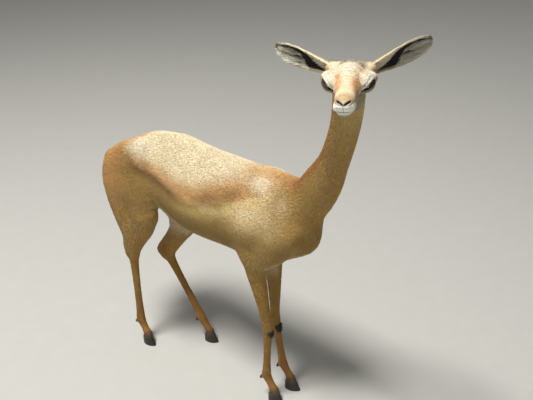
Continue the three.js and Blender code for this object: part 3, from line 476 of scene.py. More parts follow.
@dataclass(frozen=True)
class Placement:
    """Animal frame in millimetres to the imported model's frame in metres."""

    shift: Triple

    @classmethod
    def from_frame(cls, flesh: Flesh) -> "Placement":
        """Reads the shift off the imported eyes' boxes.

        Args:
            flesh: the animal's form, which says where the eyes are.

        Returns:
            The placement.
        """
        boxes = [np.asarray(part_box(name), float).mean(axis=0) for name in ("eye_left", "eye_right")]
        middle = flesh.head.outward(np.array([flesh.eye[0], 0.0, flesh.eye[2]]))
        return cls(tuple((boxes[0] + boxes[1]) / 2 - middle / 1000.0))

    def world(self, p: Array) -> Array:
        """Animal millimetres to metres in the row frame."""
        return np.asarray(p, float) / 1000.0 + np.asarray(self.shift)


# Mesh helpers


def show(name: str, data: bpy.types.ID) -> Piece:
    """A new object of some data, shown in the scene."""
    thing = bpy.data.objects.new(name, data)
    bpy.context.scene.collection.objects.link(thing)
    return thing


@dataclass
class Surface:
    """Points in the animal frame and triangles that face outwards, with values for each point."""

    points: Array
    faces: Array
    tones: Array | None = None
    patches: Array | None = None

    def normals(self) -> Array:
        """Each point's mean normal, weighted by the area of its faces.

        Returns:
            Unit normals.
        """
        corners = self.points[self.faces]
        face = np.cross(corners[:, 1] - corners[:, 0], corners[:, 2] - corners[:, 0])
        total = np.zeros_like(self.points)
        for k in range(3):
            for c in range(3):
                total[:, c] += np.bincount(self.faces[:, k], face[:, c], len(self.points))
        return unit(total)

    def make(self, name: str, place: Placement, material: Material, slot: str) -> Piece:
        """Puts the arrays into a mesh object that rides on the body.

        Args:
            name: the piece's name.
            place: where the animal frame lies.
            material: its finish.
            slot: the record's material slot; not used.

        Returns:
            The new object.
        """
        mesh = bpy.data.meshes.new(name)
        points = place.world(self.points).astype(np.float32)
        faces = self.faces.astype(np.int32)
        mesh.vertices.add(len(points))
        mesh.vertices.foreach_set("co", points.ravel())
        mesh.loops.add(faces.size)
        mesh.loops.foreach_set("vertex_index", faces.ravel())
        mesh.polygons.add(len(faces))
        mesh.polygons.foreach_set("loop_start", np.arange(0, faces.size, 3, dtype=np.int32))
        mesh.polygons.foreach_set("loop_total", np.full(len(faces), 3, dtype=np.int32))
        mesh.polygons.foreach_set("use_smooth", np.ones(len(faces), dtype=bool))
        if self.tones is not None:
            layer = mesh.color_attributes.new("Tone", "FLOAT_COLOR", "POINT")
            rgba = np.ones((len(points), 4), np.float32)
            rgba[:, :3] = np.clip(self.tones, 0.0, 1.0)
            layer.data.foreach_set("color", rgba.ravel())
        if self.patches is not None:
            layer = mesh.uv_layers.new(name="OFBake")
            layer.data.foreach_set("uv", self.patches[faces.ravel()].astype(np.float32).ravel())
        mesh.update(calc_edges=True)
        mesh.validate()
        mesh.materials.append(material)
        piece = show(name, mesh)
        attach(piece, "root")
        return piece


def grid_faces(rows: int, columns: int, closed: bool = False) -> Array:
    """Two triangles for each cell of a grid of points.

    Args:
        rows: points along the first parameter.
        columns: points along the second.
        closed: whether the last column joins the first.

    Returns:
        The triangles.
    """
    i, j = np.meshgrid(np.arange(rows - 1), np.arange(columns if closed else columns - 1), indexing="ij")
    n = (j + 1) % columns
    a, b, c, d = i * columns + j, i * columns + n, (i + 1) * columns + n, (i + 1) * columns + j
    return np.concatenate([np.stack([a, b, c], -1).reshape(-1, 3), np.stack([a, c, d], -1).reshape(-1, 3)])


def tube_surface(rings: Array) -> tuple[Array, Array]:
    """A closed surface through rings of points, with a fan on each end's mean point.

    Args:
        rings: points, as [ring, place round it, coordinate].

    Returns:
        Points and triangles that face outwards.
    """
    count, around = rings.shape[:2]
    points = np.vstack([rings.reshape(-1, 3), rings[0].mean(axis=0), rings[-1].mean(axis=0)])
    i = np.arange(around)
    n = (i + 1) % around
    ends = [np.stack([np.full(around, count * around), n, i], -1),
            np.stack([np.full(around, count * around + 1), (count - 1) * around + i, (count - 1) * around + n], -1)]
    faces = np.vstack([grid_faces(count, around, closed=True), *ends])
    corners = points[faces]
    volume = np.einsum("ij,ij->i", corners[:, 0], np.cross(corners[:, 1], corners[:, 2])).sum()
    return points, faces if volume > 0 else faces[:, ::-1]


@dataclass
class SparseNet:
    """Surface nets on the fine cells of those coarse blocks that the surface may cross."""

    cell: float = 4.5
    span: int = 6
    reach: float = 1.35

    def keys(self, place: Array, size: Array) -> Array:
        """One whole number for each cell: its place in a lattice of that size."""
        return (place[..., 0] * size[1] + place[..., 1]) * size[2] + place[..., 2]

    def build(self, distance: Measure, low: Array, high: Array) -> tuple[Array, Array]:
        """One vertex in each crossed cell, at the mean of its edge crossings, and one quad across each crossed edge.

        Args:
            distance: the field, negative inside.
            low: lowest corner of the region.
            high: highest corner of the region.

        Returns:
            Points and triangles.
        """
        block = self.cell * self.span
        count = np.ceil((high - low) / block).astype(int)
        index = np.stack(np.meshgrid(*[np.arange(n) for n in count], indexing="ij"), -1).reshape(-1, 3)
        centres = low + (index + 0.5) * block
        index = index[np.abs(distance(centres)) < block * self.reach]
        corner = np.stack(np.meshgrid(*[np.arange(self.span + 1)] * 3, indexing="ij"), -1).reshape(-1, 3)
        places = index[:, None, :] * self.span + corner[None]
        values = distance(low + places.reshape(-1, 3) * self.cell).reshape(len(index), *[self.span + 1] * 3)
        inside = values < 0
        size = count * self.span + 2
        s = self.span
        cuts: list[Array] = []
        sums = np.zeros((len(index), s, s, s, 3))
        hits = np.zeros((len(index), s, s, s))
        for axis in range(3):
            others = [c for c in range(3) if c != axis]
            for u in (0, 1):
                for v in (0, 1):
                    start = [0, 0, 0]
                    start[others[0]], start[others[1]] = u, v
                    stop = list(start)
                    stop[axis] = 1
                    a = values[:, start[0]:start[0] + s, start[1]:start[1] + s, start[2]:start[2] + s]
                    b = values[:, stop[0]:stop[0] + s, stop[1]:stop[1] + s, stop[2]:stop[2] + s]
                    crossed = (a < 0) != (b < 0)
                    share = np.where(crossed, a / np.where(crossed, a - b, 1.0), 0.0)
                    offset = np.zeros((*a.shape, 3)) + np.asarray(start, float)
                    offset[..., axis] += share
                    sums += offset * crossed[..., None]
                    hits += crossed
            step = [slice(None)] * 4
            step[axis + 1] = slice(1, None)
            base = [slice(None)] + [slice(0, s)] * 3
            other = list(base)
            other[axis + 1] = slice(1, s + 1)
            a, b = inside[tuple(base)], inside[tuple(other)]
            which = np.argwhere(a != b)
            places_at = index[which[:, 0]] * s + which[:, 1:]
            one, two = (axis + 1) % 3, (axis + 2) % 3
            e1, e2 = np.eye(3, dtype=int)[one], np.eye(3, dtype=int)[two]
            quad = np.stack([places_at - e1 - e2, places_at - e2, places_at, places_at - e1], axis=1)
            turned = a[tuple(which.T)]
            quad = np.where(turned[:, None, None], quad, quad[:, ::-1])
            cuts.append(self.keys(quad, size))
        busy = hits > 0
        where = np.argwhere(busy)
        cell_place = index[where[:, 0]] * s + where[:, 1:]
        points = low + (cell_place + sums[busy] / hits[busy][:, None]) * self.cell
        keys = self.keys(cell_place, size)
        order = np.argsort(keys)
        keys, points = keys[order], points[order]
        quads = np.concatenate(cuts)
        found = np.clip(np.searchsorted(keys, quads), 0, len(keys) - 1)
        quads = found[(keys[found] == quads).all(axis=1)]
        first = lengths(points[quads[:, 0]] - points[quads[:, 2]])
        second = lengths(points[quads[:, 1]] - points[quads[:, 3]])
        short = (first < second)[:, None, None]
        faces = np.where(short, quads[:, [[0, 1, 2], [0, 2, 3]]], quads[:, [[0, 1, 3], [1, 2, 3]]]).reshape(-1, 3)
        return points, faces


def refine(points: Array, faces: Array, chosen: Array) -> tuple[Array, Array]:
    """Halves each edge whose two ends are chosen, and splits its triangles to match.

    Args:
        points: the mesh's points.
        faces: its triangles.
        chosen: which points are in the finer region.

    Returns:
        The new points and triangles.
    """
    count = len(points)
    edges = np.sort(faces[:, [[0, 1], [1, 2], [2, 0]]], axis=2)
    keys, back = np.unique(edges[..., 0] * count + edges[..., 1], return_inverse=True)
    back = back.reshape(-1, 3)
    a, b = keys // count, keys % count
    split = chosen[a] & chosen[b]
    new = np.where(split, count + np.cumsum(split) - 1, -1)
    points = np.vstack([points, (points[a[split]] + points[b[split]]) / 2])
    middle = new[back]
    times = (middle >= 0).sum(axis=1)
    out = [faces[times == 0]]
    whole, m = faces[times == 3], middle[times == 3]
    out += [np.stack(t, -1) for t in ((whole[:, 0], m[:, 0], m[:, 2]), (m[:, 0], whole[:, 1], m[:, 1]),
                                      (m[:, 2], m[:, 1], whole[:, 2]), (m[:, 0], m[:, 1], m[:, 2]))]
    for k in range(3):
        rows = (times == 1) & (middle[:, k] >= 0)
        one, m1 = faces[rows], middle[rows, k]
        p, q, r = one[:, k], one[:, (k + 1) % 3], one[:, (k + 2) % 3]
        out += [np.stack([p, m1, r], -1), np.stack([m1, q, r], -1)]
    return points, np.concatenate(out)


# The skin


# Each knee's brush: its drop below the knee, its size, and its number of locks.
BRUSHES = {Side.RIGHT: (4.0, 0.68, 150), Side.LEFT: (22.0, 0.8, 260)}
# The lower edge of the dark saddle, as (x, z) in the animal frame.
SADDLE_EDGE = np.array([
    (-480, 800), (-400, 846), (-335, 833), (-312, 808), (-255, 778), (-177, 757), (-106, 732), (-19, 742), (79, 770),
    (136, 793), (200, 824), (300, 862), (420, 960),
])
# Lid edges as (along the slit, up) from the eye's middle, and the nostril's slit as (side, up), in the head frame.
EYELID_TOP = np.array([(-25, -7.5), (-19, -4.6), (-13, -1.9), (-5, 2.6), (1, 4.6), (7, 4.8), (12, 3.4), (15, 1)])
EYELID_LOW = np.array([(-25, -7.5), (-20, -7.5), (-14, -6.3), (-8, -4.9), (-1, -3.5), (6, -2.4), (12, -0.9), (15, 1)])
LID_SLOPE = 0.3
MOUTH_START = 76.0
NOSTRIL = np.array([(12.5, -15.6), (10, -16.8), (6.5, -18.9), (3, -21)])


def along_line(p: Array, line: Array) -> tuple[Array, Array]:
    """Distance from 2-D points to a polyline, and the share of the way along it of the nearest point.

    Args:
        p: points.
        line: the polyline's corners.

    Returns:
        Distances and shares.
    """
    best = np.full(len(p), np.inf)
    share = np.zeros(len(p))
    total = len(line) - 1
    for i in range(total):
        a, b = line[i], line[i + 1]
        t = np.clip(((p - a) @ (b - a)) / ((b - a) @ (b - a)), 0, 1)
        d = lengths(p - (a + t[:, None] * (b - a)))
        nearer = d < best
        best = np.where(nearer, d, best)
        share = np.where(nearer, (i + t) / total, share)
    return best, share


def mouth_line(turn: Array) -> Array:
    """The mouth's height in the head frame at each turn about MOUTH_START: -36.5 + 6 sin^2(turn)."""
    return -36.5 + 6 * np.sin(turn) ** 2


def eyelids(a: Array, beyond: float | None = None) -> tuple[Array, Array]:
    """The heights of the upper and the lower lid's edge at each place along the slit.

    Args:
        a: places along the slit.
        beyond: how far each lid is past the other outside the slit, or None to go on level there.

    Returns:
        The upper edge and the lower one.
    """
    above = None if beyond is None else -beyond
    return (np.interp(a, *EYELID_TOP.T, left=above, right=above),
            np.interp(a, *EYELID_LOW.T, left=beyond, right=beyond))


def eye_axes(side: float) -> tuple[Array, Array, Array]:
    """Gaze, towards the outer corner, and up, of one eye in the head frame.

    Args:
        side: +1 for the left eye.

    Returns:
        The three directions.
    """
    gaze = unit(np.array([0.7, side * 0.72, 0.0]))
    back = np.array([-1.0, 0.0, 0.1])
    along = unit(back - gaze * (back @ gaze))
    rise = np.cross(gaze, along)
    rise = rise if rise[2] > 0 else -rise
    cos, sin = math.cos(LID_SLOPE), math.sin(LID_SLOPE)
    return gaze, along * cos + rise * sin, rise * cos - along * sin


@dataclass
class Skin:
    """One closed skin over the whole of the flesh, with a fine mesh on the head and the finest at the eyes and nose."""

    flesh: Flesh
    depth: float = 1.8
    cell: float = 4.5
    low: Triple = (-600.0, -460.0, -10.0)
    high: Triple = (740.0, 190.0, 1340.0)
    collar: float = 3.0
    probe: float = 0.4
    points: Array = field(init=False)
    faces: Array = field(init=False)

    def field(self, p: Array) -> Array:
        """The skin's field: the flesh, less the coat's depth, closed off by a plane `collar` below each coronet.

        Args:
            p: points in the animal frame.

        Returns:
            Distances, negative inside.
        """
        d = self.flesh.distance(p) + self.depth
        for leg in (*FORELEGS, *HIND_LEGS):
            coronet = np.asarray(leg.coronet, float)
            near = (np.abs(p - coronet).max(axis=1) < 60) & (p[:, 2] < 75)
            d = np.where(near, np.maximum(d, (p - coronet) @ leg.toe() - self.collar), d)
        return d

    def settle(self, p: Array, rounds: int, step: float) -> Array:
        """Newton steps along the slope on to the skin, none longer than `step`.

        Args:
            p: points near the skin.
            rounds: how many steps.
            step: the longest step.

        Returns:
            The moved points.
        """
        for _ in range(rounds):
            d = self.field(p)
            slope = np.stack([(self.field(p + self.probe * np.eye(3)[c]) - d) / self.probe for c in range(3)], axis=1)
            size = np.maximum((slope * slope).sum(axis=1), 0.1)
            p = p - slope * np.clip(d / size, -step, step)[:, None]
        return p

    def build(self) -> None:
        """Nets the whole body, then halves the mesh three times towards the face and settles each new point."""
        net = SparseNet(cell=self.cell)
        points, faces = net.build(self.field, np.asarray(self.low), np.asarray(self.high))
        points = self.settle(points, 1, 1.5)
        for level in range(3):
            old = len(points)
            points, faces = refine(points, faces, self._finer(level, self.flesh.head.inward(points)))
            points[old:] = self.settle(points[old:], 1, 1.0)
        self.points, self.faces = points, faces
        self.points = self._relief(points)

    def _finer(self, level: int, q: Array) -> Array:
        """Which points are in the region of a level: the head, then the face, then the eyes and the nose.

        Args:
            level: 0, 1 or 2.
            q: points in the head frame.

        Returns:
            True where the mesh is halved.
        """
        x, wide, z = q[:, 0], np.abs(q[:, 1]), q[:, 2]
        if level == 0:
            return (x > -80) & (lengths(q) < 160)
        if level == 1:
            return (x > -36) & (x < 140) & (wide < 70) & (z > -62) & (z < 40)
        return (lengths(np.stack([x - 14, wide - 44, z - 2], 1)) < 27) | ((x > 96) & (wide < 26))

    def _relief(self, points: Array) -> Array:
        """Sinks the eye openings, nostrils, mouth and the cleft of the lip, and raises the rims round them.

        Args:
            points: the skin's points.

        Returns:
            The moved points.
        """
        head = self.flesh.head
        q = head.inward(points)
        near = (np.abs(q[:, 0]) < 150) & (np.abs(q[:, 1]) < 90) & (np.abs(q[:, 2]) < 90)
        normals = head.inward(Surface(points, self.faces).normals() + np.asarray(head.origin))[near]
        h = q[near]
        radius = self.flesh.eye_radius
        for side, _ in SIDES:
            gaze, along, rise = eye_axes(side)
            v = h - self.flesh.eye_centre(side)
            deep, a, b = v @ gaze, v @ along, v @ rise
            top, low = eyelids(a, 99)
            inside = np.minimum(top - b, b - low)
            facing = deep > 4
            opened = ease(inside, -0.35, 0.55) * facing
            span = lengths(v)
            drop = np.clip(span - (radius - 1.3), 2.2, 9.0)
            rim = bump(inside, -1.4, 1.5) * facing * (span < 32) * 0.9
            crease = bump(inside, -6.5, 1.6) * facing * (b > top) * 0.9
            h = h + unit(v) * (rim - crease - opened * drop)[:, None]
        turn = np.arctan2(h[:, 1], h[:, 0] - MOUTH_START)
        rise = mouth_line(turn)
        ends = ease(math.radians(104) - np.abs(turn), 0, 0.25) * (h[:, 0] > 60)
        lips = bump(h[:, 2], rise, 1.15) * 2.4 * ends
        lips -= (bump(h[:, 2], rise + 3.2, 2.2) * 0.7 + bump(h[:, 2], rise - 3.0, 2.0) * 0.6) * ends
        front = (h[:, 0] > 95) * 1.0
        cleft = bump(h[:, 1], 0, 0.8) * ease(h[:, 2], -38, -34) * ease(-h[:, 2], 19, 23) * 1.5 * front
        across = np.stack([np.abs(h[:, 1]), h[:, 2]], axis=1)
        gap, share = along_line(across, NOSTRIL)
        width = 1.2 + 1.0 * np.sin(math.pi * np.clip(1.0 - share, 0, 1) ** 0.7)
        nostril = ease(width - gap, -0.9, 1.1) * 4.5 * front
        wing = bump(gap, width + 1.8, 1.6) * 0.9 * front * (h[:, 2] > -22)
        h = h - normals * (lips + cleft + nostril - wing)[:, None]
        out = points.copy()
        out[near] = head.outward(h)
        return out


@dataclass
class Anatomy:
    """What lies where: how much each place belongs to trunk, neck, head, legs and tail, and which way hair lies."""

    flesh: Flesh
    softness: float = 14.0
    fade: float = 22.0
    swirl: float = 0.12
    trunk_lie: Triple = (-1.0, 0.0, -0.32)
    head_lie: Triple = (-1.0, 0.0, -0.12)
    limb_lie: Triple = (-0.55, 0.0, -0.85)
    block: int = 20000

    def nearest_axis(self, rows: Array, p: Array) -> Array:
        """The direction of a tube's axis near each point: its rows' own, weighed by exp(-distance / fade).

        Args:
            rows: the tube's rows.
            p: points, worked through in blocks to save memory.

        Returns:
            Unit directions.
        """
        axis = unit(np.diff(rows[:, :3], axis=0))
        centre = (rows[1:, :3] + rows[:-1, :3]) / 2
        out = np.zeros_like(p)
        for start in range(0, len(p), self.block):
            block = p[start:start + self.block]
            d = np.sqrt(((block[:, None, :] - centre[None]) ** 2).sum(axis=2))
            weight = np.exp((d.min(axis=1, keepdims=True) - d) / self.fade)
            out[start:start + self.block] = unit(weight @ axis)
        return out

    def shares(self, p: Array) -> dict[str, Array]:
        """Each part's share of a place, from the parts' distances there: exp(-d / softness), scaled to a sum of 1.

        Args:
            p: points in the animal frame.

        Returns:
            Shares from 0 to 1, by the part's name.
        """
        f = self.flesh
        gaps = {"trunk": f.trunk.distance(p), "neck": f.neck.distance(p), "head": f.head_distance(p),
                "tail": f.tail.distance(p) * 1.5}
        for i, leg in enumerate(f.fore):
            gaps[f"shoulder{i}"] = np.minimum.reduce([leg[k].distance(p) for k in ("blade", "arm", "triceps")])
            gaps[f"fore{i}"] = leg["leg"].distance(p)
        for i, leg in enumerate(f.hind):
            gaps[f"thigh{i}"] = np.minimum.reduce([leg[k].distance(p) for k in ("haunch", "thigh", "hamstring")])
            gaps[f"hind{i}"] = np.minimum(leg["gaskin"].distance(p), leg["leg"].distance(p))
        raw = {k: np.exp(-np.clip(v, -60, 120) / self.softness) for k, v in gaps.items()}
        total = sum(raw.values())
        return {k: v / total for k, v in raw.items()}

    def lie(self, p: Array, n: Array, shares: dict[str, Array]) -> Array:
        """The way the hair points at each place, in the skin's plane.

        Args:
            p: places on the skin.
            n: the skin's normals there.
            shares: what `shares` gave for them.

        Returns:
            Unit directions.
        """
        f = self.flesh
        total = shares["trunk"][:, None] * np.array(self.trunk_lie)
        total = total + shares["neck"][:, None] * -self.nearest_axis(f.neck.rows, p)
        total += shares["tail"][:, None] * self.nearest_axis(f.tail.rows, p)
        total += shares["head"][:, None] * f.head.turn(self.head_lie)
        for i, leg in enumerate(f.fore):
            total += shares[f"shoulder{i}"][:, None] * np.array(self.limb_lie)
            total += shares[f"fore{i}"][:, None] * self.nearest_axis(leg["leg"].rows, p)
        for i, leg in enumerate(f.hind):
            rows = np.vstack([leg["gaskin"].rows, leg["leg"].rows])
            total += shares[f"thigh{i}"][:, None] * np.array(self.limb_lie)
            total += shares[f"hind{i}"][:, None] * self.nearest_axis(rows, p)
        swirl = np.stack([noise(p, 70.0, s) for s in (1, 2, 3)], axis=1)
        return square_to(total + self.swirl * swirl, n)


# Colours


def tone(red: int, green: int, blue: int) -> Array:
    """A colour written as 0 to 255 screen values, as the light it reflects."""
    c = np.array([red, green, blue]) / 255.0
    return np.where(c <= 0.04045, c / 12.92, ((c + 0.055) / 1.055) ** 2.4)


def tone_field(red: int, green: int, blue: int) -> Array:
    """A dataclass field that holds such a colour."""
    return field(default_factory=lambda: tone(red, green, blue))


@dataclass(frozen=True)
class CoatTones:
    """The coat's colours, among them painted sheen and painted shade."""

    # back: painted sheen, the near-white of the upper back in strong light.
    back: Array = tone_field(238, 222, 188)
    saddle: Array = tone_field(210, 166, 108)
    edge: Array = tone_field(116, 84, 42)
    flank: Array = tone_field(202, 176, 108)
    side: Array = tone_field(168, 136, 74)
    shoulder: Array = tone_field(240, 214, 160)
    belly: Array = tone_field(226, 214, 182)
    neck: Array = tone_field(178, 144, 80)
    nape: Array = tone_field(178, 122, 72)
    leg: Array = tone_field(160, 122, 54)
    shank: Array = tone_field(154, 108, 52)
    rump: Array = tone_field(208, 156, 94)
    cream: Array = tone_field(244, 232, 204)
    white: Array = tone_field(226, 221, 202)
    stripe: Array = tone_field(206, 148, 90)
    bridge: Array = tone_field(234, 214, 180)
    muzzle: Array = tone_field(184, 160, 118)
    # cheek: painted shade, the grey-olive of the face where it turns away from the light.
    cheek: Array = tone_field(172, 160, 122)
    crown: Array = tone_field(128, 120, 100)
    dark: Array = tone_field(44, 35, 27)
    black: Array = tone_field(26, 21, 17)


def lay(base: Array, colour: Array, amount: Array) -> None:
    """Lays a colour over the base, in place, by its amount."""
    base += (colour - base) * np.clip(amount, 0.0, 1.0)[:, None]


def spread(colour: Array, count: int) -> Array:
    """The same colour for each of so many points."""
    return np.tile(colour, (count, 1))


@dataclass
class MarkingsAndLight:
    """The coat's pattern, with painted sheen, light and shade, as formulas of place, for skin and tufts alike."""

    flesh: Flesh
    tones: CoatTones = CoatTones()

    def paint(self, p: Array, n: Array, shares: dict[str, Array]) -> Array:
        """The colour at each place.

        Args:
            p: places on the skin, in the animal frame.
            n: its normals.
            shares: how much of each place belongs to each part.

        Returns:
            Linear colours.
        """
        t = self.tones
        x, y, z = p.T
        wobble = noise(p, 46.0, 11) * 9 + noise(p, 17.0, 12) * 4
        line = np.interp(x, SADDLE_EDGE[:, 0], SADDLE_EDGE[:, 1]) + wobble * 0.6
        above = z - line
        colour = spread(t.side, len(p))
        lay(colour, t.belly, ease(-n[:, 2], 0.55, 0.95) * ease(700 - z, 0, 60))
        flank = ease(x, -190, 10) * ease(170 - x, 0, 60)
        lay(colour, t.flank, bump(above, -26, 24) * flank)
        lay(colour, t.shoulder, ease(x, 60, 170) * ease(z, 660, 750) * ease(335 - x, 0, 120) * 0.9)
        lay(colour, t.rump, ease(-x + wobble, 285, 425) * ease(z, 540, 760) * 0.9)
        saddle = ease(above, -5, 5)
        lay(colour, t.saddle, saddle)
        # Painted sheen: the upper back turns near-white where it faces up, from a little above the saddle's edge.
        lift = np.interp(x, [-300, -150, 50], [0, 14, 22])
        lay(colour, t.back, ease(above - lift, 12, 78) * ease(n[:, 2], -0.25, 0.45))
        lay(colour, t.edge, bump(above, 8, 17) * ease(x, -350, -300) * ease(-40 - x, 0, 110) * 0.85)
        lay(colour, t.edge, bump(above, 20, 26) * ease(x, -60, 30) * ease(170 - x, 0, 60) * 0.55)
        # Spots, one a row as (tone, amount, centre, size): a reddish patch on the back; painted sheen on the top of the
        # shoulder; painted shade in the band between shoulder and neck; three painted pools of sunlight on the side and
        # shoulder; painted sheen over the hip.
        for tint, amount, centre, size in (
            (t.saddle, 0.45, (154, 20, 872), (40, 34, 26)), (t.cream, 0.95, (206, 58, 853), (46, 34, 24)),
            (t.edge, 0.4, (268, 62, 822), (17, 40, 44)), (t.cream, 0.3, (38, 100, 743), (46, 60, 12)),
            (t.cream, 0.4, (192, 90, 766), (56, 60, 17)), (t.cream, 0.4, (296, 60, 810), (32, 60, 22)),
            (t.cream, 0.9, (-300, 70, 869), (54, 44, 26))):
            gap = (np.stack([x, np.abs(y), z], axis=1) - centre) / size
            lay(colour, tint, np.exp(-(gap * gap).sum(axis=1) + 0.3 * noise(p, 20.0, 24)) * amount)
        lay(colour, t.saddle, ease(-x, 395, 455) * ease(n[:, 2], -0.4, 0.3) * 0.8)
        haunch = shares["thigh0"] + shares["thigh1"]
        lay(colour, mix(t.side, t.leg, 0.45), haunch * ease(720 - z, 0, 210) * 0.9)
        inner = ease(-np.sign(y) * n[:, 1], 0.25, 0.8) * (np.abs(y) < 120)
        low = ease(640 - z, 0, 60)
        legs = shares["fore0"] + shares["fore1"] + shares["hind0"] + shares["hind1"]
        lay(colour, t.leg, legs * ease(620 - z, 0, 120))
        lay(colour, t.shank, legs * ease(330 - z, 0, 160) * 0.8)
        lay(colour, t.cream, inner * low * ease(z, 440, 540) * 0.55 * (legs + haunch))
        # A pale streak down the front edge of the near (right) thigh: the pale edge of the belly, with a painted
        # highlight on the fold there.
        lay(colour, t.cream, bump(z, 610, 80) * bump(x, -222, 9) * (y < 0) * 0.45)
        neck = shares["neck"]
        rear = Anatomy(self.flesh).nearest_axis(self.flesh.neck.rows, p)
        rear = np.cross(rear, np.cross(np.array([-1.0, 0.1, 0.0]), rear))
        backward = (unit(rear) * n).sum(axis=1)
        lay(colour, t.neck, neck)
        # Painted light: the upper neck is lightened towards the head, where the head casts its shadow.
        lay(colour, t.flank, neck * ease(z, 1020, 1170) * 0.5)
        lay(colour, t.nape, neck * ease(backward, 0.2, 0.95) * ease(1250 - z, 0, 90) * 0.85)
        lay(colour, t.cream, neck * bump(z, 1206, 40) * ease(-backward, 0.6, 0.98) * 0.4)
        lay(colour, t.black, shares["tail"] * ease(675 - z, 0, 50))
        for leg in FORELEGS:
            drop, size, _ = BRUSHES[leg.side]
            v = p - leg.knee - (10.0, 0.0, -drop - 2)
            front = ease(n[:, 0], 0.05, 0.6)
            gap = v / (26.0, 17.0, 22.0 * size)
            lay(colour, t.dark, np.exp(-(gap * gap).sum(axis=1)) * front * size)
            # Painted shade: a dark line in the fold just below each knee.
            crease = bump(v[:, 2], 12 + drop + 7 * np.sign(noise(p, 30.0, 27)), 1.8)
            lay(colour, t.edge, crease * bump(v[:, 0], 10, 16) * bump(v[:, 1], 0, 18) * 0.5)
        for leg in (*FORELEGS, *HIND_LEGS):
            v = p - leg.coronet
            near = (lengths(v[:, :2]) < 60) * ease(66 - z, 0, 22)
            lay(colour, t.dark, near * 0.75)
            nub = p - leg.fetlock
            behind = ease(-nub[:, 0], 13.0, 16.5) * ease(12 - np.abs(nub[:, 2] + 13), 0, 4)
            lay(colour, t.dark, behind * (np.abs(nub[:, 1]) < 28) * (np.abs(nub[:, 0]) < 40))
        colour = self._face(colour, p, n, shares["head"])
        mottle = 1.0 + sum(depth * noise(p, size, seed)
                           for depth, size, seed in ((0.07, 9.0, 21), (0.06, 28.0, 22), (0.05, 90.0, 23)))
        return np.clip(colour * mottle[:, None], 0.0, 1.0)

    def _face(self, colour: Array, p: Array, n: Array, share: Array) -> Array:
        """The head's pattern, with painted shade on the cheeks, under the eyes and under the chin, in the head frame,
        laid over the rest by the head's share.

        Args:
            colour: the colours so far.
            p: places on the skin, in the animal frame.
            n: its normals.
            share: how much of each place belongs to the head.

        Returns:
            The new colours.
        """
        t = self.tones
        h = self.flesh.head.inward(p)
        m = n @ self.flesh.head.axes
        f, s, u = h.T
        wide = np.abs(s)
        face = spread(t.neck, len(p))
        lay(face, t.bridge, ease(m[:, 2], 0.0, 0.6))
        # Painted shade: the back of the face turns grey-olive where it faces down or aside.
        lay(face, t.cheek, ease(-m[:, 2], -0.35, 0.35) * ease(f, -70, -20))
        top = ease(m[:, 2], 0.15, 0.6)
        grain = noise(p, 5.0, 61)
        lay(face, t.white, bump(s, 0, 24 - 0.2 * f) * ease(f, -62, -40) * ease(66 - f, 0, 60) * top * 0.95)
        centre = np.interp(f, [-20, 0, 22, 55, 75, 110], [30, 31, 23, 16.5, 18.5, 19])
        stripe = bump(wide, centre, 7.0) * ease(f, -34, -6) * ease(96 - f, 0, 30) * ease(m[:, 2], -0.3, 0.1)
        stripe *= ease(u, -24, -14) * (0.85 + 0.4 * grain)
        lay(face, t.bridge, bump(s, 0, 15) * ease(f, 20, 50) * ease(m[:, 2], 0.3, 0.8) * 0.85)
        lay(face, t.stripe, bump(s, 26, 12) * bump(f, 2, 9) * top * 0.5)
        back = ease(-f, 6, 20) * ease(92 + f, 0, 20) * ease(34 - np.abs(s - 5), 0, 14) * ease(m[:, 2], 0.0, 0.5)
        lay(face, t.crown, back * (0.8 + 0.5 * grain))
        for side, _ in SIDES:
            gaze, along, rise = eye_axes(side)
            v = h - self.flesh.eye_centre(side)
            a, b, deep = v @ along, v @ rise, v @ gaze
            top, low = eyelids(a)
            inside = np.minimum(top - b, b - low) - np.maximum(np.maximum(a - 15, -25 - a), 0)
            here = (deep > -6) & (lengths(v) < 60)
            brow = ease(b - top, -1, 3) * ease(29 - 0.1 * a - b, 0, 10)
            brow = brow * ease(a, -44, -30) * ease(30 - a, 0, 10)
            lay(face, t.white, brow * here * (0.96 + 0.2 * grain))
            lay(face, t.stripe, stripe * (s * side > 0) * ease(-a, 2, 10))
            # Painted shade: the same grey-olive under each lower lid.
            lower = ease(low - 1 - b, 0, 3) * ease(b, -28, -16) * ease(a, -40, -28) * ease(30 - a, 0, 12)
            lay(face, t.cheek, lower * here * 0.9)
            # A dark band just under each lower lid: the lid's dark skin, with painted shade in the socket.
            socket = ease(low - b, -2, 0.5) * ease(b - low, -7.5, -2.5) * ease(a, -22, -12) * ease(15 - a, 0, 6)
            lay(face, tone(82, 76, 60), socket * here * 0.85)
            lay(face, t.dark, ease(inside, -2.4, -0.5) * here * 0.95)
            duct = bump(b, -8.0 + 0.1 * (a + 25), 1.9) * ease(a, -44, -34) * ease(-18 - a, 0, 8)
            lay(face, t.dark, duct * here * 0.8)
        mouth_rise = mouth_line(np.arctan2(s, f - MOUTH_START))
        lay(face, t.muzzle, ease(f, 90, 112) * ease(u, -22, -12) * ease(m[:, 2], -0.2, 0.4) * 0.9)
        lips = ease(f, 66, 88) * ease(-17 - u, 0, 6)
        lay(face, tone(250, 248, 240), lips)
        lay(face, t.white, ease(f, 46, 80) * ease(-36 - u, 0, 8) * 0.6)
        edge = bump(u, mouth_rise, 1.3) * ease(f, 66, 78)
        lay(face, t.dark, edge * 0.6)
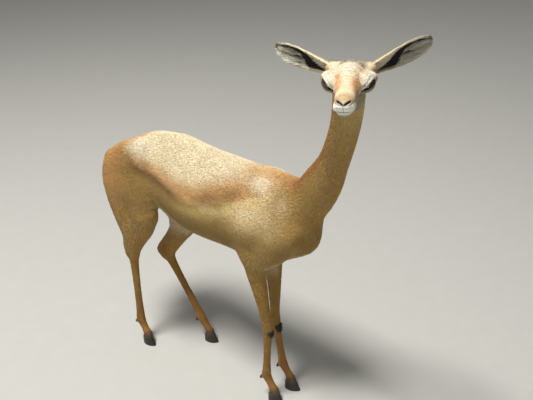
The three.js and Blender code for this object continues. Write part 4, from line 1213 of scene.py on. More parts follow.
        # Painted shade: a dark grey band below the mouth, where the chin turns under.
        lay(face, tone(118, 114, 90), ease(mouth_rise - 2.5 - u, 0, 7) * ease(f, 78, 94) * 0.85)
        gap, _ = along_line(np.stack([wide, u], axis=1), NOSTRIL)
        front = ease(f, 92, 100)
        lay(face, tone(96, 80, 62), ease(6.0 - gap, 0, 3.0) * front * 0.5)
        lay(face, t.black, ease(2.3 - gap, 0, 1.2) * front)
        lay(face, t.dark, bump(s, 0, 1.0) * ease(u, -38, -35) * ease(-19 - u, 0, 3) * front * 0.45)
        return mix(colour, face, share[:, None])


# Hair

LEG_TOP = 600.0


@dataclass
class Locks:
    """Tapered tufts, each a few three-cornered rings and a tip that follow the lie and bend clear of the skin."""

    seed: int
    shares: tuple[float, ...] = (0.0, 0.5)
    widths: tuple[float, ...] = (0.75, 1.0)
    height: float = 0.34
    sunk: float = 0.3
    cell: float = 0.0026

    def build(self, roots: Array, out: Array, lie: Array, length: Array, width: Array, rise: Array,
              tones: Array, patch: Array, follow: Measure | None = None) -> Surface:
        """Grows one tuft at each root.

        A tuft's centre goes root + lie L t + out R sin(2.2 t), where t runs from 0 at the root to 1 at the tip.

        Args:
            roots: where the tufts start.
            out: normals of the skin there.
            lie: directions that they point in.
            length: their lengths.
            width: their widths.
            rise: how far they bend clear of the skin.
            tones: colours at the roots.
            patch: each root's place on the unwrap.
            follow: distance to the skin, for tufts that keep their height over its curves.

        Returns:
            The joined tufts.
        """
        rng = np.random.default_rng(self.seed)
        count, rings = len(roots), len(self.shares)
        turn = rng.normal(0.0, 0.11, count)[:, None]
        across = unit(np.cross(out, lie))
        lie = unit(lie + across * turn)
        across = unit(np.cross(out, lie))
        corners = np.array([(-0.5, 0.0), (0.5, 0.0), (0.0, self.height)])
        points = np.zeros((count, rings * 3 + 1, 3))
        for k, (t, wide) in enumerate(zip((*self.shares, 1.0), (*self.widths, 0.0))):
            centre = roots + lie * (length * t)[:, None]
            if follow is not None and t > 0:
                centre = centre - out * np.clip(follow(centre) + self.sunk, -4.0, 4.0)[:, None]
            centre = centre + out * (rise * math.sin(2.2 * t))[:, None]
            if k == rings:
                points[:, -1] = centre
            else:
                for c, (a, b) in enumerate(corners):
                    points[:, k * 3 + c] = (centre + across * (a * wide * width)[:, None]
                                            + out * (b * wide * width)[:, None])
        faces = []
        for k in range(rings - 1):
            for c in range(3):
                a, b = k * 3 + c, k * 3 + (c + 1) % 3
                faces += [(a, b, b + 3), (a, b + 3, a + 3)]
        last = (rings - 1) * 3
        faces += [(last + c, last + (c + 1) % 3, rings * 3) for c in range(3)]
        own = np.asarray(faces)
        shade = 1.02 + rng.normal(0.0, 0.055, count)
        tip = np.linspace(0.93, 1.1, rings + 1)
        level = np.append(np.repeat(tip[:-1], 3), tip[-1])
        colours = tones[:, None, :] * shade[:, None, None] * level[None, :, None]
        fan = np.array([(a * self.cell, k / rings * self.cell) for k in range(rings) for a, _ in corners]
                       + [(0.0, self.cell)])
        size = rings * 3 + 1
        return Surface(points.reshape(-1, 3), (own[None] + (np.arange(count) * size)[:, None, None]).reshape(-1, 3),
                       colours.reshape(-1, 3), (patch[:, None, :] + fan[None] - self.cell / 2).reshape(-1, 2))


@dataclass(frozen=True)
class CoatZone:
    """One piece of the coat: where it lies, how long and wide its tufts are, and the axis its unwrap turns about."""

    name: str
    test: Measure
    start: Triple
    end: Triple
    count: int
    length: float
    width: float
    rise: float


def is_head(p: Array) -> Array:
    """Whether a place is in front of the neck's top."""
    return HeadFrame().inward(p)[:, 0] > -78


def is_neck(p: Array) -> Array:
    """Whether a place is on the neck above its base."""
    return ~is_head(p) & (p @ np.array([0.62, 0.0, 0.78]) > 890)


def is_trunk(p: Array) -> Array:
    """Whether a place is on the body above the legs."""
    return ~is_head(p) & ~is_neck(p) & (p[:, 2] >= LEG_TOP) & ~is_tail(p)


def is_tail(p: Array) -> Array:
    """Whether a place is on the tail."""
    return (p[:, 0] < -493) & (p[:, 2] < 790)


def is_foreleg(p: Array) -> Array:
    """Whether a place is on a foreleg."""
    return (p[:, 2] < LEG_TOP) & (p[:, 0] > -60)


def is_hind_leg(p: Array) -> Array:
    """Whether a place is on a hind leg."""
    return (p[:, 2] < LEG_TOP) & (p[:, 0] <= -60) & ~is_tail(p)


def trunk_part(low: float, high: float, side: Side) -> Measure:
    """The test for one side of a length of the trunk.

    Args:
        low: where it starts along x.
        high: where it ends.
        side: which side.

    Returns:
        The test.
    """
    def test(p: Array) -> Array:
        """Whether a place is there."""
        return is_trunk(p) & (p[:, 0] >= low) & (p[:, 0] < high) & ((p[:, 1] < 0) == (side is Side.RIGHT))

    return test


COAT_ZONES = (
    CoatZone("coat_head", is_head, (-80, 0, 0), (130, 0, 0), 15000, 4.8, 1.0, 0.65),
    CoatZone("coat_neck", is_neck, (290, 0, 790), (550, -190, 1262), 15500, 11.5, 1.8, 1.25),
    *(CoatZone(f"coat_{part}_{side.name.lower()}", trunk_part(low, high, side), start, end, count, 13.5, width, rise)
      for part, low, high, start, end, rows in (
          ("chest", 110, math.inf, (110, 0, 730), (330, 0, 740), ((14500, 1.9, 1.35), (9500, 2.1, 1.4))),
          ("barrel", -210, 110, (-210, 0, 740), (110, 0, 730), ((18500, 1.9, 1.4), (11500, 2.2, 1.4))),
          ("rump", -math.inf, -210, (-480, 0, 768), (-210, 0, 744), ((18500, 1.9, 1.4), (11500, 2.2, 1.4))))
      for side, (count, width, rise) in zip((Side.RIGHT, Side.LEFT), rows)),
    CoatZone("coat_forelegs", is_foreleg, (180, 0, 600), (210, 0, 30), 15500, 7.5, 1.5, 0.9),
    CoatZone("coat_hind_legs", is_hind_leg, (-330, 0, 600), (-280, 0, 30), 17500, 8.5, 1.6, 1.0),
    CoatZone("coat_tail", is_tail, (-500, 0, 790), (-513, 12, 560), 1700, 12.0, 2.0, 1.6),
)


@dataclass
class Coat:
    """The short coat over the skin, in one piece for each zone."""

    skin: Skin
    anatomy: Anatomy
    markings_and_light: MarkingsAndLight
    place: Placement
    seed: int = 5
    sunk: float = 0.3
    long_hair: float = 10.0

    def build(self, material: Material) -> list[Piece]:
        """Draws roots evenly over each zone of the skin and grows the tufts there.

        Args:
            material: the tufts' finish.

        Returns:
            The pieces.
        """
        points, faces = self.skin.points, self.skin.faces
        normals = Surface(points, faces).normals()
        corners = points[faces]
        middle = corners.mean(axis=1)
        area = lengths(np.cross(corners[:, 1] - corners[:, 0], corners[:, 2] - corners[:, 0]))
        head = self.anatomy.flesh.head
        ragged = 22 * noise(middle, 24.0, 25) * ease(60 - np.abs(middle[:, 2] - LEG_TOP), 0, 30)
        pieces = []
        for k, zone in enumerate(COAT_ZONES):
            rng = np.random.default_rng(self.seed + k)
            chosen = np.flatnonzero(zone.test(middle + ragged[:, None] * (0.0, 0.0, 1.0)) & (area > 0))
            weight = area[chosen] * self._density(head.inward(middle[chosen]))
            pick = chosen[rng.choice(len(chosen), zone.count, p=weight / weight.sum())]
            u, v = rng.random((2, zone.count))
            flip = u + v > 1
            u, v = np.where(flip, 1 - u, u), np.where(flip, 1 - v, v)
            bary = np.stack([1 - u - v, u, v], axis=1)
            root = (points[faces[pick]] * bary[..., None]).sum(axis=1)
            out = unit((normals[faces[pick]] * bary[..., None]).sum(axis=1))
            shares = self.anatomy.shares(root)
            lie = self.anatomy.lie(root, out, shares)
            tones = self.markings_and_light.paint(root, out, shares)
            length = zone.length * rng.uniform(0.75, 1.25, zone.count)
            width = zone.width * rng.uniform(0.8, 1.2, zone.count)
            rise = zone.rise * rng.uniform(0.7, 1.15, zone.count)
            q = head.inward(root)
            fine = mix(1.0, 0.62, ease(q[:, 0], 20, 95)) if zone.name == "coat_head" else 1.0
            low = ease(110 - root[:, 2], 0, 60) * 0.35
            if zone.length > self.long_hair:
                low = ease(710 - root[:, 2], 0, 100) * 0.38
                low = low + ease(q[:, 0], -170, -84) * (zone.name == "coat_neck") * 0.5
            scale = fine * (1 - low)
            patch = self._unwrap(root, zone, head)
            follow = None if zone.name == "coat_head" else self.skin.field
            grown = Locks(self.seed + 40 + k).build(root - out * self.sunk, out, lie, length * scale, width * scale,
                                                    rise * scale, tones, patch, follow)
            pieces.append(grown.make(zone.name, self.place, material, "coat"))
        return pieces

    def _density(self, q: Array) -> Array:
        """How thickly tufts stand: more on the face than behind it, none in the eyes, the nostrils or the mouth.

        Args:
            q: places in the head frame.

        Returns:
            Weights.
        """
        weight = mix(1.0, 1.7, ease(q[:, 0], 0, 90) * (lengths(q) < 170))
        for side, _ in SIDES:
            gaze, along, rise = eye_axes(side)
            v = q - self.anatomy.flesh.eye_centre(side)
            b = v @ rise
            top, low = eyelids(v @ along, 99)
            eye = (np.minimum(top - b, b - low) > -2.2) & (v @ gaze > 0) & (lengths(v) < 32)
            weight = np.where(eye, 0, weight)
        gap, _ = along_line(np.stack([np.abs(q[:, 1]), q[:, 2]], axis=1), NOSTRIL)
        nose = (q[:, 0] > 92) & ((gap < 4.5) | ((np.abs(q[:, 1]) < 9) & (q[:, 2] < -16)))
        turn = np.arctan2(q[:, 1], q[:, 0] - MOUTH_START)
        mouth = (q[:, 0] > 62) & (np.abs(q[:, 2] - mouth_line(turn)) < 1.6) & (lengths(q) < 170)
        return np.where(nose | mouth, 0.0, weight)

    def _unwrap(self, root: Array, zone: CoatZone, head: HeadFrame) -> Array:
        """Turn about the zone's axis and share of the way along it, each from 0.01 to 0.99.

        Args:
            root: the tufts' roots.
            zone: their zone.
            head: the head frame, in which the head's axis lies.

        Returns:
            Places on the unwrap. Paired legs lie side by side.
        """
        start, end = np.asarray(zone.start, float), np.asarray(zone.end, float)
        p = head.inward(root) if zone.name == "coat_head" else root
        axis = unit(end - start)
        side = unit(np.cross(axis, (0.0, 1.0, 0.0)))
        other = np.cross(axis, side)
        v = p - start
        turn = np.arctan2(v @ side, v @ other)
        if "legs" in zone.name:
            turn = turn / 2 + np.where(v @ other > 0, 1.5, -1.5)
        along = v @ axis
        out = np.stack([turn, along], axis=1)
        low, high = out.min(axis=0), out.max(axis=0)
        return 0.01 + 0.98 * (out - low) / (high - low)


@dataclass
class Ears:
    """Two cupped leaves with pale rims, dark and streaked inside, and long hairs in the cup."""

    flesh: Flesh
    place: Placement
    tones: CoatTones = CoatTones()
    length: float = 152.0
    wall: float = 2.3
    spread: float = math.radians(78)
    start: Triple = (-60.0, 40.0, 24.0)
    mouth: Triple = (0.84, 0.36, -0.42)
    profile: tuple[Triple, ...] = (
        (-0.04, 7, 11), (0, 8, 12), (0.1, 11, 14), (0.22, 14, 15), (0.36, 17.5, 14.5), (0.5, 20.5, 13),
        (0.63, 21.5, 11), (0.75, 20, 8.5), (0.86, 15.5, 5.5), (0.95, 9, 3), (0.985, 5, 1.8), (1, 2.2, 0.9))
    left_axis: Triple = (-0.3, 0.88, 0.38)
    right_axis: Triple = (-0.3, -0.92, 0.26)
    rim_step: float = 0.04
    lift: float = 0.25
    # Each kind of hair: how many, how far through the wall from its back (0) to the cup (1), length, width and rise.
    kinds: tuple[tuple[float, ...], ...] = (
        (4200, 0.0, 6.0, 1.2, 0.6), (3200, 1.0, 7.0, 0.9, 0.8), (420, 1.0, 22.0, 0.8, 3.5), (1300, 0.5, 7.0, 0.9, 0.8))

    def frame_of(self, side: float) -> tuple[Array, Array, Array, Array]:
        """Root, axis, mouth and across of one ear, in the animal frame.

        Args:
            side: +1 for the left ear.

        Returns:
            The root's place and the three directions.
        """
        head = self.flesh.head
        axis = unit(head.turn(self.left_axis if side > 0 else self.right_axis))
        raw = head.turn((self.mouth[0], side * self.mouth[1], self.mouth[2]))
        mouth = unit(raw - axis * (raw @ axis))
        return head.outward((self.start[0], side * self.start[1], self.start[2])), axis, mouth, np.cross(axis, mouth)

    def sheet(self, side: float, share: Array, a: Array, thick: Array) -> Array:
        """A place in the ear's wall.

        Args:
            side: +1 for the left ear.
            share: how far along the ear, 0 to 1.
            a: angle round the cup, from -spread to spread.
            thick: depth behind the inner face.

        Returns:
            Points in the animal frame.
        """
        start, axis, mouth, across = self.frame_of(side)
        fine = curve(self.profile, 12)
        half = np.interp(share, fine[:, 0], fine[:, 1])
        depth = np.interp(share, fine[:, 0], fine[:, 2])
        top = math.cos(self.spread)
        x = half * np.sin(a) / math.sin(self.spread) + thick * np.sin(a)
        z = -depth * (np.cos(a) - top) / (1 - top) - thick * np.cos(a)
        ripple = 0.5 * np.sin(share * 34 + 3 * a) * ease(np.abs(a), 0.5, 1.3) * ease(share, 0.1, 0.3)
        z = z - 10 * np.clip(share, 0, 1) ** 2 + ripple
        return start + axis * (share * self.length)[..., None] + across * x[..., None] + mouth * z[..., None]

    def paint(self, side: float, share: Array, a: Array, inner: Array) -> Array:
        """The ear's colour by its own coordinates: cream upper rim, dark cup with pale streaks, tan back, dark tip.

        Args:
            side: +1 for the left ear.
            share: how far along the ear.
            a: angle round the cup.
            inner: 1 on the cup, 0 on the back.

        Returns:
            One colour for each place.
        """
        t = self.tones
        w = -side * a / self.spread
        back = spread(tone(182, 152, 108), a.size)
        share, w, inner = share.ravel(), w.ravel(), inner.ravel()
        grain = noise(np.stack([share * 60, w * 16, inner * 9], axis=1), 1.0, 31)
        lay(back, tone(104, 90, 62), ease(share, 0.7, 0.95) * 0.9)
        pale = tone(240, 237, 220)
        ragged = w + 0.09 * grain
        top = np.interp(share, [0.1, 0.22, 0.33, 0.43, 0.52, 0.7, 0.9], [-0.8, -0.52, -0.22, 0.16, 0.56, 0.70, 0.76])
        low = np.interp(share, [0.1, 0.32, 0.45, 0.56, 0.7, 0.9], [-1.3, -1.15, -0.62, 0.04, 0.30, 0.42])
        cup = spread(pale, a.size) * (0.9 + 0.12 * grain)[:, None]
        lay(cup, tone(250, 242, 214), ease(ragged - top, 0.0, 0.12))
        band = ease(ragged - low, -0.06, 0.06) * ease(top - ragged, -0.06, 0.06) * ease(0.95 - share, 0, 0.1)
        lay(cup, t.black, band)
        band = bump(ragged, -0.20 + 0.3 * (share - 0.5), 0.10) * ease(share, 0.46, 0.56) * ease(0.80 - share, 0, 0.1)
        lay(cup, t.black, band)
        lay(cup, tone(104, 92, 64), ease(share, 0.84, 0.96) * ease(w, -0.9, 0.1) * 0.9)
        lay(cup, t.bridge, ease(0.12 - share, 0, 0.1) * ease(w, -0.3, 0.3))
        colour = mix(back, cup, inner[:, None])
        edge = bump(w, 1.0, 0.13) + 0.55 * bump(w, -1.0, 0.1)
        lay(colour, t.cream, edge * ease(0.97 - share, 0, 0.2) * 0.9)
        return np.clip(colour * (1 + 0.08 * grain)[:, None], 0, 1)

    def build(self, material: Material, hair: Material) -> list[Piece]:
        """Both shells, then the hairs in and round each cup.

        Args:
            material: the shells' finish.
            hair: the hairs' finish.

        Returns:
            The left shell and hair, then the right ones.
        """
        pieces = []
        for side, name in SIDES:
            half = 30
            share = np.concatenate([np.linspace(-0.04, 0.9, 62), 1 - 0.1 * (1 - np.linspace(0, 1, 15)[1:]) ** 1.6])
            turn = np.linspace(-self.spread, self.spread, half)
            rim = np.linspace(0, 1, 7)[1:-1]
            a = np.concatenate([turn, np.full(5, self.spread), turn[::-1], np.full(5, -self.spread)])
            inner = np.concatenate([np.ones(half), 1 - rim, np.zeros(half), rim])
            flat, round_rim = np.zeros(half), np.sin(rim * math.pi)
            a = a + self.rim_step * np.concatenate([flat, round_rim, flat, -round_rim])
            grid_share, grid_a = np.meshgrid(share, a, indexing="ij")
            grid_in = np.broadcast_to(inner, grid_a.shape)
            tip = np.clip((1 - grid_share) / 0.05, 0.25, 1)
            points = self.sheet(side, grid_share, grid_a, (1 - grid_in) * self.wall * tip + self.lift)
            shell, faces = tube_surface(points)
            tones = self.paint(side, grid_share, grid_a, grid_in)
            tones = np.vstack([tones, tones[:1], tones[-1:]])
            pieces.append(Surface(shell, faces, tones).make(f"ear_{name}_skin", self.place, material, "ear"))
            pieces.append(self._hairs(side, name, hair))
        return pieces

    def _hairs(self, side: float, name: str, material: Material) -> Piece:
        """Short fur on the wall's two faces, long hairs in the cup and a fringe along its rims.

        Args:
            side: +1 for the left ear.
            name: the side's name.
            material: its finish.

        Returns:
            The piece.
        """
        rng = np.random.default_rng(91 if side > 0 else 92)
        kinds = []
        for count, inner, length, width, rise in self.kinds:
            share = rng.uniform(0.03, 0.97, count)
            a = rng.uniform(-1, 1, count) * self.spread
            if length > 20:
                band = rng.integers(0, 3, count)
                share = rng.uniform(0.06, 0.72, count)
                share = np.where(band < 2, 0.46 + 0.5 * share, 0.58 + 0.36 * share)
                centre = np.choose(band, [np.full(count, -0.45), np.full(count, -0.85), 1.05 * share - 0.62])
                a = -side * np.clip(centre + rng.normal(0, 0.07, count), -1, 1) * self.spread
            if inner == 0.5:
                a = np.where(rng.random(count) < 0.5, 1.0, -1.0) * self.spread
            thick = np.where(inner > 0.9, 0.2, self.wall + 0.1) * np.ones(count)
            thick = np.where(inner == 0.5, self.wall * rng.random(count), thick)
            kinds.append((share, a, thick, np.full(count, inner), length * rng.uniform(0.7, 1.3, count),
                          width * rng.uniform(0.8, 1.2, count), rise * rng.uniform(0.5, 1.2, count)))
        share, a, thick, inner, length, width, rise = (np.concatenate(k) for k in zip(*kinds))
        root = self.sheet(side, share, a, thick)
        ahead = unit(self.sheet(side, share + 0.01, a, thick) - root)
        around = self.sheet(side, share, a + 0.02, thick) - root
        out = unit(np.cross(ahead, around))
        middle = self.sheet(side, share, np.zeros_like(a), thick)
        mouth = self.frame_of(side)[2]
        facing = np.where(inner > 0.9, 1.0, -1.0)
        out = out * np.sign((out @ mouth) * facing + 1e-9)[:, None]
        rimmed = inner == 0.5
        outward = unit(root - middle)
        out = np.where(rimmed[:, None], outward, out)
        long_hair = (length > 15)[:, None]
        lie = unit(ahead + np.where(rimmed[:, None], outward * 0.5, 0) + np.where(long_hair, mouth * 0.25, 0))
        out = square_to(out, lie)
        tones = self.paint(side, share, a, np.clip(inner, 0, 1))
        tones = np.where(long_hair, np.maximum(tones, tone(214, 208, 186)), tones)
        room = np.clip((1.04 - share) / 0.12, 0.35, 1)
        patch = np.stack([0.02 + 0.46 * (a / self.spread + 1) / 2 + 0.5 * (inner > 0.4), 0.02 + 0.96 * share], axis=1)
        grown = Locks(93).build(root - out * 0.3, out, lie, length * room, width, rise, tones, patch)
        return grown.make(f"ear_{name}_hair", self.place, material, "ear")


@dataclass
class Eyes:
    """Wet dark eyes with a level oval pupil, and the lashes of the upper lids."""

    flesh: Flesh
    place: Placement
    rows: int = 72
    columns: int = 96
    upper_lashes: int = 50
    lower_lashes: int = 24

    def build(self, wet: Material, hair: Material) -> list[Piece]:
        """A ball for each eye, with its pole on the gaze and the cornea a little proud, and its lashes.

        Args:
            wet: the balls' finish.
            hair: the lashes' finish.

        Returns:
            The left ball and lashes, then the right ones.
        """
        pieces = []
        for side, name in SIDES:
            gaze, along = (self.flesh.head.turn(v) for v in eye_axes(side)[:2])
            level = unit(np.array([along[0], along[1], 0.0]))
            level = unit(level - gaze * (level @ gaze))
            high = np.cross(gaze, level)
            centre = self.flesh.head.outward(self.flesh.eye_centre(side))
            polar = np.linspace(0.004, math.pi - 0.01, self.rows)
            turn = np.arange(self.columns) / self.columns * 2 * math.pi
            t, a = np.meshgrid(polar, turn, indexing="ij")
            radius = self.flesh.eye_radius + 0.75 * ease(0.78 - t, 0, 0.5)
            x, y = np.sin(t) * np.cos(a), np.sin(t) * np.sin(a)
            way = level * x[..., None] + high * y[..., None] + gaze * np.cos(t)[..., None]
            points, faces = tube_surface(centre + radius[..., None] * way)
            pupil = np.sqrt((x / 0.40) ** 2 + (y / 0.24) ** 2)
            tones = spread(tone(52, 32, 18), t.size)
            streak = noise(np.stack([np.cos(a) * 7, np.sin(a) * 7, t * 3], -1).reshape(-1, 3), 1.0, 41)
            tones = tones * (1 + 0.35 * streak)[:, None]
            lay(tones, tone(6, 5, 6), ease(1.15 - pupil.ravel(), 0, 0.25))
            lay(tones, tone(12, 9, 7), ease(t.ravel(), 0.60, 0.72))
            lay(tones, tone(120, 96, 80), ease(t.ravel(), 0.86, 0.98) * 0.6)
            tones = np.vstack([tones, tones[:1], tones[-1:]])
            pieces.append(Surface(points, faces, tones).make(f"eyeball_{name}", self.place, wet, "eye"))
            pieces.append(self._lashes(side, name, hair))
        return pieces

    def _lashes(self, side: float, name: str, material: Material) -> Piece:
        """Dark lashes along the upper lid, swept back and curling up, and short ones on the lower.

        Args:
            side: +1 for the left eye.
            name: the side's name.
            material: its finish.

        Returns:
            The piece.
        """
        rng = np.random.default_rng(71)
        gaze, along, rise = eye_axes(side)
        a = np.concatenate([np.linspace(-17, 14, self.upper_lashes), np.linspace(-16, 12, self.lower_lashes)])
        count = len(a)
        upper = np.arange(count) < self.upper_lashes
        top, low = eyelids(a)
        b = np.where(upper, top + 0.5, low - 0.5)
        reach = self.flesh.eye_radius + 2.1
        deep = np.sqrt(np.maximum(reach ** 2 - a * a - b * b, 16))
        root = self.flesh.eye_centre(side) + along * a[:, None] + rise * b[:, None] + gaze * deep[:, None]
        out = np.where(upper[:, None], rise, -rise)
        lie = unit(gaze * 0.8 + out * 0.45 + along * (0.02 * a + 0.1)[:, None])
        out = square_to(out, lie)
        length = np.where(upper, 8.0, 4.0) * rng.uniform(0.8, 1.2, count)
        head = self.flesh.head
        patch = np.stack([0.1 + 0.8 * np.arange(count) / count, np.where(upper, 0.7, 0.3)], axis=1)
        grown = Locks(72, (0.0, 0.35, 0.7), (1.0, 0.8, 0.5)).build(
            head.outward(root), head.turn(out), head.turn(lie), length, np.full(count, 0.55), length * 0.28,
            spread(tone(20, 16, 13), count), patch)
        return grown.make(f"lashes_{name}", self.place, material, "coat")


@dataclass
class Claws:
    """Two narrow pointed claws on each foot, cut off at the coronet."""

    place: Placement
    cleft: float = 1.6
    outline: tuple[tuple[float, float], ...] = (
        (-18, 0.8), (-19, 8), (-15.5, 15), (-6, 18.5), (8, 19), (20, 15.5), (30, 10), (36.5, 4.5), (38, 1.4),
        (18, 0.8), (0, 0.8))
    levels: tuple[Triple, ...] = ((0, 1, 0.95), (3, 1, 1), (20, 0.78, 0.99), (60, 0.3, 0.9))

    def build(self, material: Material) -> list[Piece]:
        """Rings of the outline from the ground to the coronet's plane, then a dome under the hair.

        Args:
            material: the horn's finish.

        Returns:
            The pieces.
        """
        pieces = []
        line = curve([*self.outline, self.outline[0]], 6)[:-1]
        line[:, 1] = np.maximum(line[:, 1], self.cleft / 2)
        for pair, legs in (("fore", FORELEGS), ("hind", HIND_LEGS)):
            for leg in legs:
                for name, side in (("outer", leg.side.value), ("inner", -leg.side.value)):
                    points, faces = tube_surface(self._rings(leg, side, line))
                    height = points[:, 2]
                    tones = spread(tone(46, 38, 32), len(points))
                    lay(tones, tone(92, 78, 62), ease(height, 26, 44) * 0.55)
                    lay(tones, tone(20, 17, 15), bump(height, 1.0, 2.5) * 0.5)
                    tones = tones * (1 + 0.12 * np.sin(height * 1.9 + noise(points, 8, 51)))[:, None]
                    pieces.append(Surface(points, faces, tones).make(
                        f"claw_{pair}_{leg.side.name.lower()}_{name}", self.place, material, "horn"))
        return pieces

    def _rings(self, leg: Leg, side: float, line: Array) -> Array:
        """The claw's rings, each point's height a share of the coronet plane's height above it.

        Args:
            leg: the leg that it stands under.
            side: +1 for a claw on the leg's left.
            line: the outline on the ground.

        Returns:
            Rings of points.
        """
        coronet, toe = leg.joints()[4], leg.toe()
        cos, sin = math.cos(math.radians(leg.yaw)), math.sin(math.radians(leg.yaw))
        levels = curve(self.levels, 8)
        rings = []
        for share in (*np.linspace(0, 0.12, 4), *np.linspace(0.2, 1.0, 16)):
            z = np.full(len(line), share * 42.0)
            for _ in range(4):
                taper = np.interp(z, levels[:, 0], levels[:, 1])
                size = np.interp(z, levels[:, 0], levels[:, 2])
                ahead = np.where(line[:, 0] > 0, line[:, 0] * taper, line[:, 0]) * size
                out = side * (self.cleft / 2 + (line[:, 1] - self.cleft / 2) * size)
                x = coronet[0] + ahead * cos - out * sin
                y = coronet[1] + ahead * sin + out * cos
                top = coronet[2] - ((x - coronet[0]) * toe[0] + (y - coronet[1]) * toe[1]) / toe[2]
                z = share * np.clip(top, 8, 60)
            foot = 0.5 * (1 - min(share / 0.04, 1.0)) ** 2
            x = x + (coronet[0] + 6 - x) * foot * 0.06
            rings.append(np.stack([x, y, z], axis=1))
        return np.stack(rings)


@dataclass
class Brushes:
    """The longer hair: dark brushes on the knees and the black end of the tail."""

    flesh: Flesh
    place: Placement
    tones: CoatTones = CoatTones()
    knee_spread: float = 66.0
    tail_count: int = 620
    tail_from: Triple = (-524.0, 5.0, 646.0)
    tail_to: Triple = (-517.0, 10.0, 580.0)

    def build(self, material: Material) -> list[Piece]:
        """One brush on each knee, then the tail's.

        Args:
            material: the hair's finish.

        Returns:
            The pieces.
        """
        return [*(self._knee(leg, material) for leg in FORELEGS), self._tail(material)]

    def _reach(self, centre: Array, out: Array) -> Array:
        """How far along each direction the flesh ends, by 24 halvings of the ray.

        Args:
            centre: where the rays start.
            out: their directions.

        Returns:
            Lengths.
        """
        low, high = np.zeros(len(out)), np.full(len(out), 60.0)
        for _ in range(24):
            mid = (low + high) / 2
            inside = self.flesh.distance(centre + out * mid[:, None]) < 0
            low, high = np.where(inside, mid, low), np.where(inside, high, mid)
        return low

    def _knee(self, leg: Leg, material: Material) -> Piece:
        """Hair rooted in a patch over the front of the knee, hanging down the shank.

        Args:
            leg: the foreleg.
            material: its finish.

        Returns:
            The piece.
        """
        rng = np.random.default_rng(61 if leg.side is Side.LEFT else 62)
        _, _, carpus, fetlock, _ = leg.joints()
        down = unit(fetlock - carpus)
        front = unit(np.cross((0.0, 1.0, 0.0), -down))
        front = front if front[0] > 0 else -front
        drop, size, count = BRUSHES[leg.side]
        turn = np.radians(np.clip(rng.normal(0, 28, count), -self.knee_spread, self.knee_spread))
        out = unit(front * np.cos(turn)[:, None] + np.array([0.0, 1.0, 0.0]) * np.sin(turn)[:, None])
        centre = carpus + down * (drop + size * rng.uniform(-13, 11, count))[:, None]
        root = centre + out * (self._reach(centre, out) - 3.0)[:, None]
        length = rng.uniform(15, 30, count) * np.cos(turn) ** 0.5 * size
        lie = unit(np.broadcast_to(down, root.shape) + 0.12 * rng.normal(0, 1, root.shape))
        out = square_to(out, lie)
        colour = mix(self.tones.black, self.tones.dark, rng.random((count, 1)))
        round_knee = (turn / math.radians(self.knee_spread) + 1) / 2
        patch = np.stack([0.05 + 0.9 * round_knee, 0.05 + 0.9 * rng.random(count)], axis=1)
        grown = Locks(63, (0.0, 0.3, 0.6, 0.82), (0.8, 1.0, 0.85, 0.5)).build(
            root, out, lie, length, rng.uniform(1.6, 2.6, count), rng.uniform(2.5, 6.5, count) * size, colour, patch)
        return grown.make(f"knee_brush_{leg.side.name.lower()}", self.place, material, "coat")

    def _tail(self, material: Material) -> Piece:
        """Long black hair round the tail's last third.

        Args:
            material: its finish.

        Returns:
            The piece.
        """
        rng = np.random.default_rng(64)
        count = self.tail_count
        share = rng.random(count)
        spine = mix(np.array(self.tail_from), np.array(self.tail_to), share[:, None])
        turn = rng.uniform(0, 2 * math.pi, count)
        out = np.stack([np.cos(turn), np.sin(turn), np.zeros(count)], axis=1)
        root = spine + out * 7.5
        lie = unit(np.stack([0.12 + 0.1 * out[:, 0], 0.07 + 0.12 * out[:, 1], np.full(count, -1.0)], axis=1)
                   + 0.05 * rng.normal(0, 1, (count, 3)))
        out = square_to(out, lie)
        length = np.minimum(rng.uniform(46, 76, count), spine[:, 2] - 518)
        colour = mix(self.tones.black, self.tones.dark, rng.random((count, 1)) * 0.7)
        patch = np.stack([0.03 + 0.94 * turn / (2 * math.pi), 0.03 + 0.94 * share], axis=1)
        grown = Locks(65, (0.0, 0.3, 0.6, 0.82), (0.8, 1.0, 0.8, 0.45)).build(
            root, out, lie, length, rng.uniform(2.2, 3.6, count), rng.uniform(3, 7, count), colour, patch)
        return grown.make("tail_brush", self.place, material, "coat")


# Shaders


class Value:
    """A node socket with arithmetic: each operator adds one Math node."""

    def __init__(self, shader: "Shader", socket: bpy.types.NodeSocket) -> None:
        """Wraps one output."""
        self.shader, self.socket = shader, socket

    def _math(self, operation: str, a: "Value | float", b: "Value | float") -> "Value":
        """The Math node of an operation on two values or numbers."""
        return self.shader.add("ShaderNodeMath", {"operation": operation}, [a, b])

    def __add__(self, other: "Value | float") -> "Value":
        """Sum."""
        return self._math("ADD", self, other)

    def __radd__(self, other: float) -> "Value":
        """Sum with a number on the left."""
        return self._math("ADD", other, self)

    def __sub__(self, other: "Value | float") -> "Value":
        """Difference."""
        return self._math("SUBTRACT", self, other)

    def __rsub__(self, other: float) -> "Value":
        """Difference from a number."""
        return self._math("SUBTRACT", other, self)

    def __mul__(self, other: "Value | float") -> "Value":
        """Product."""
        return self._math("MULTIPLY", self, other)

    def __rmul__(self, other: float) -> "Value":
        """Product with a number on the left."""
        return self._math("MULTIPLY", other, self)


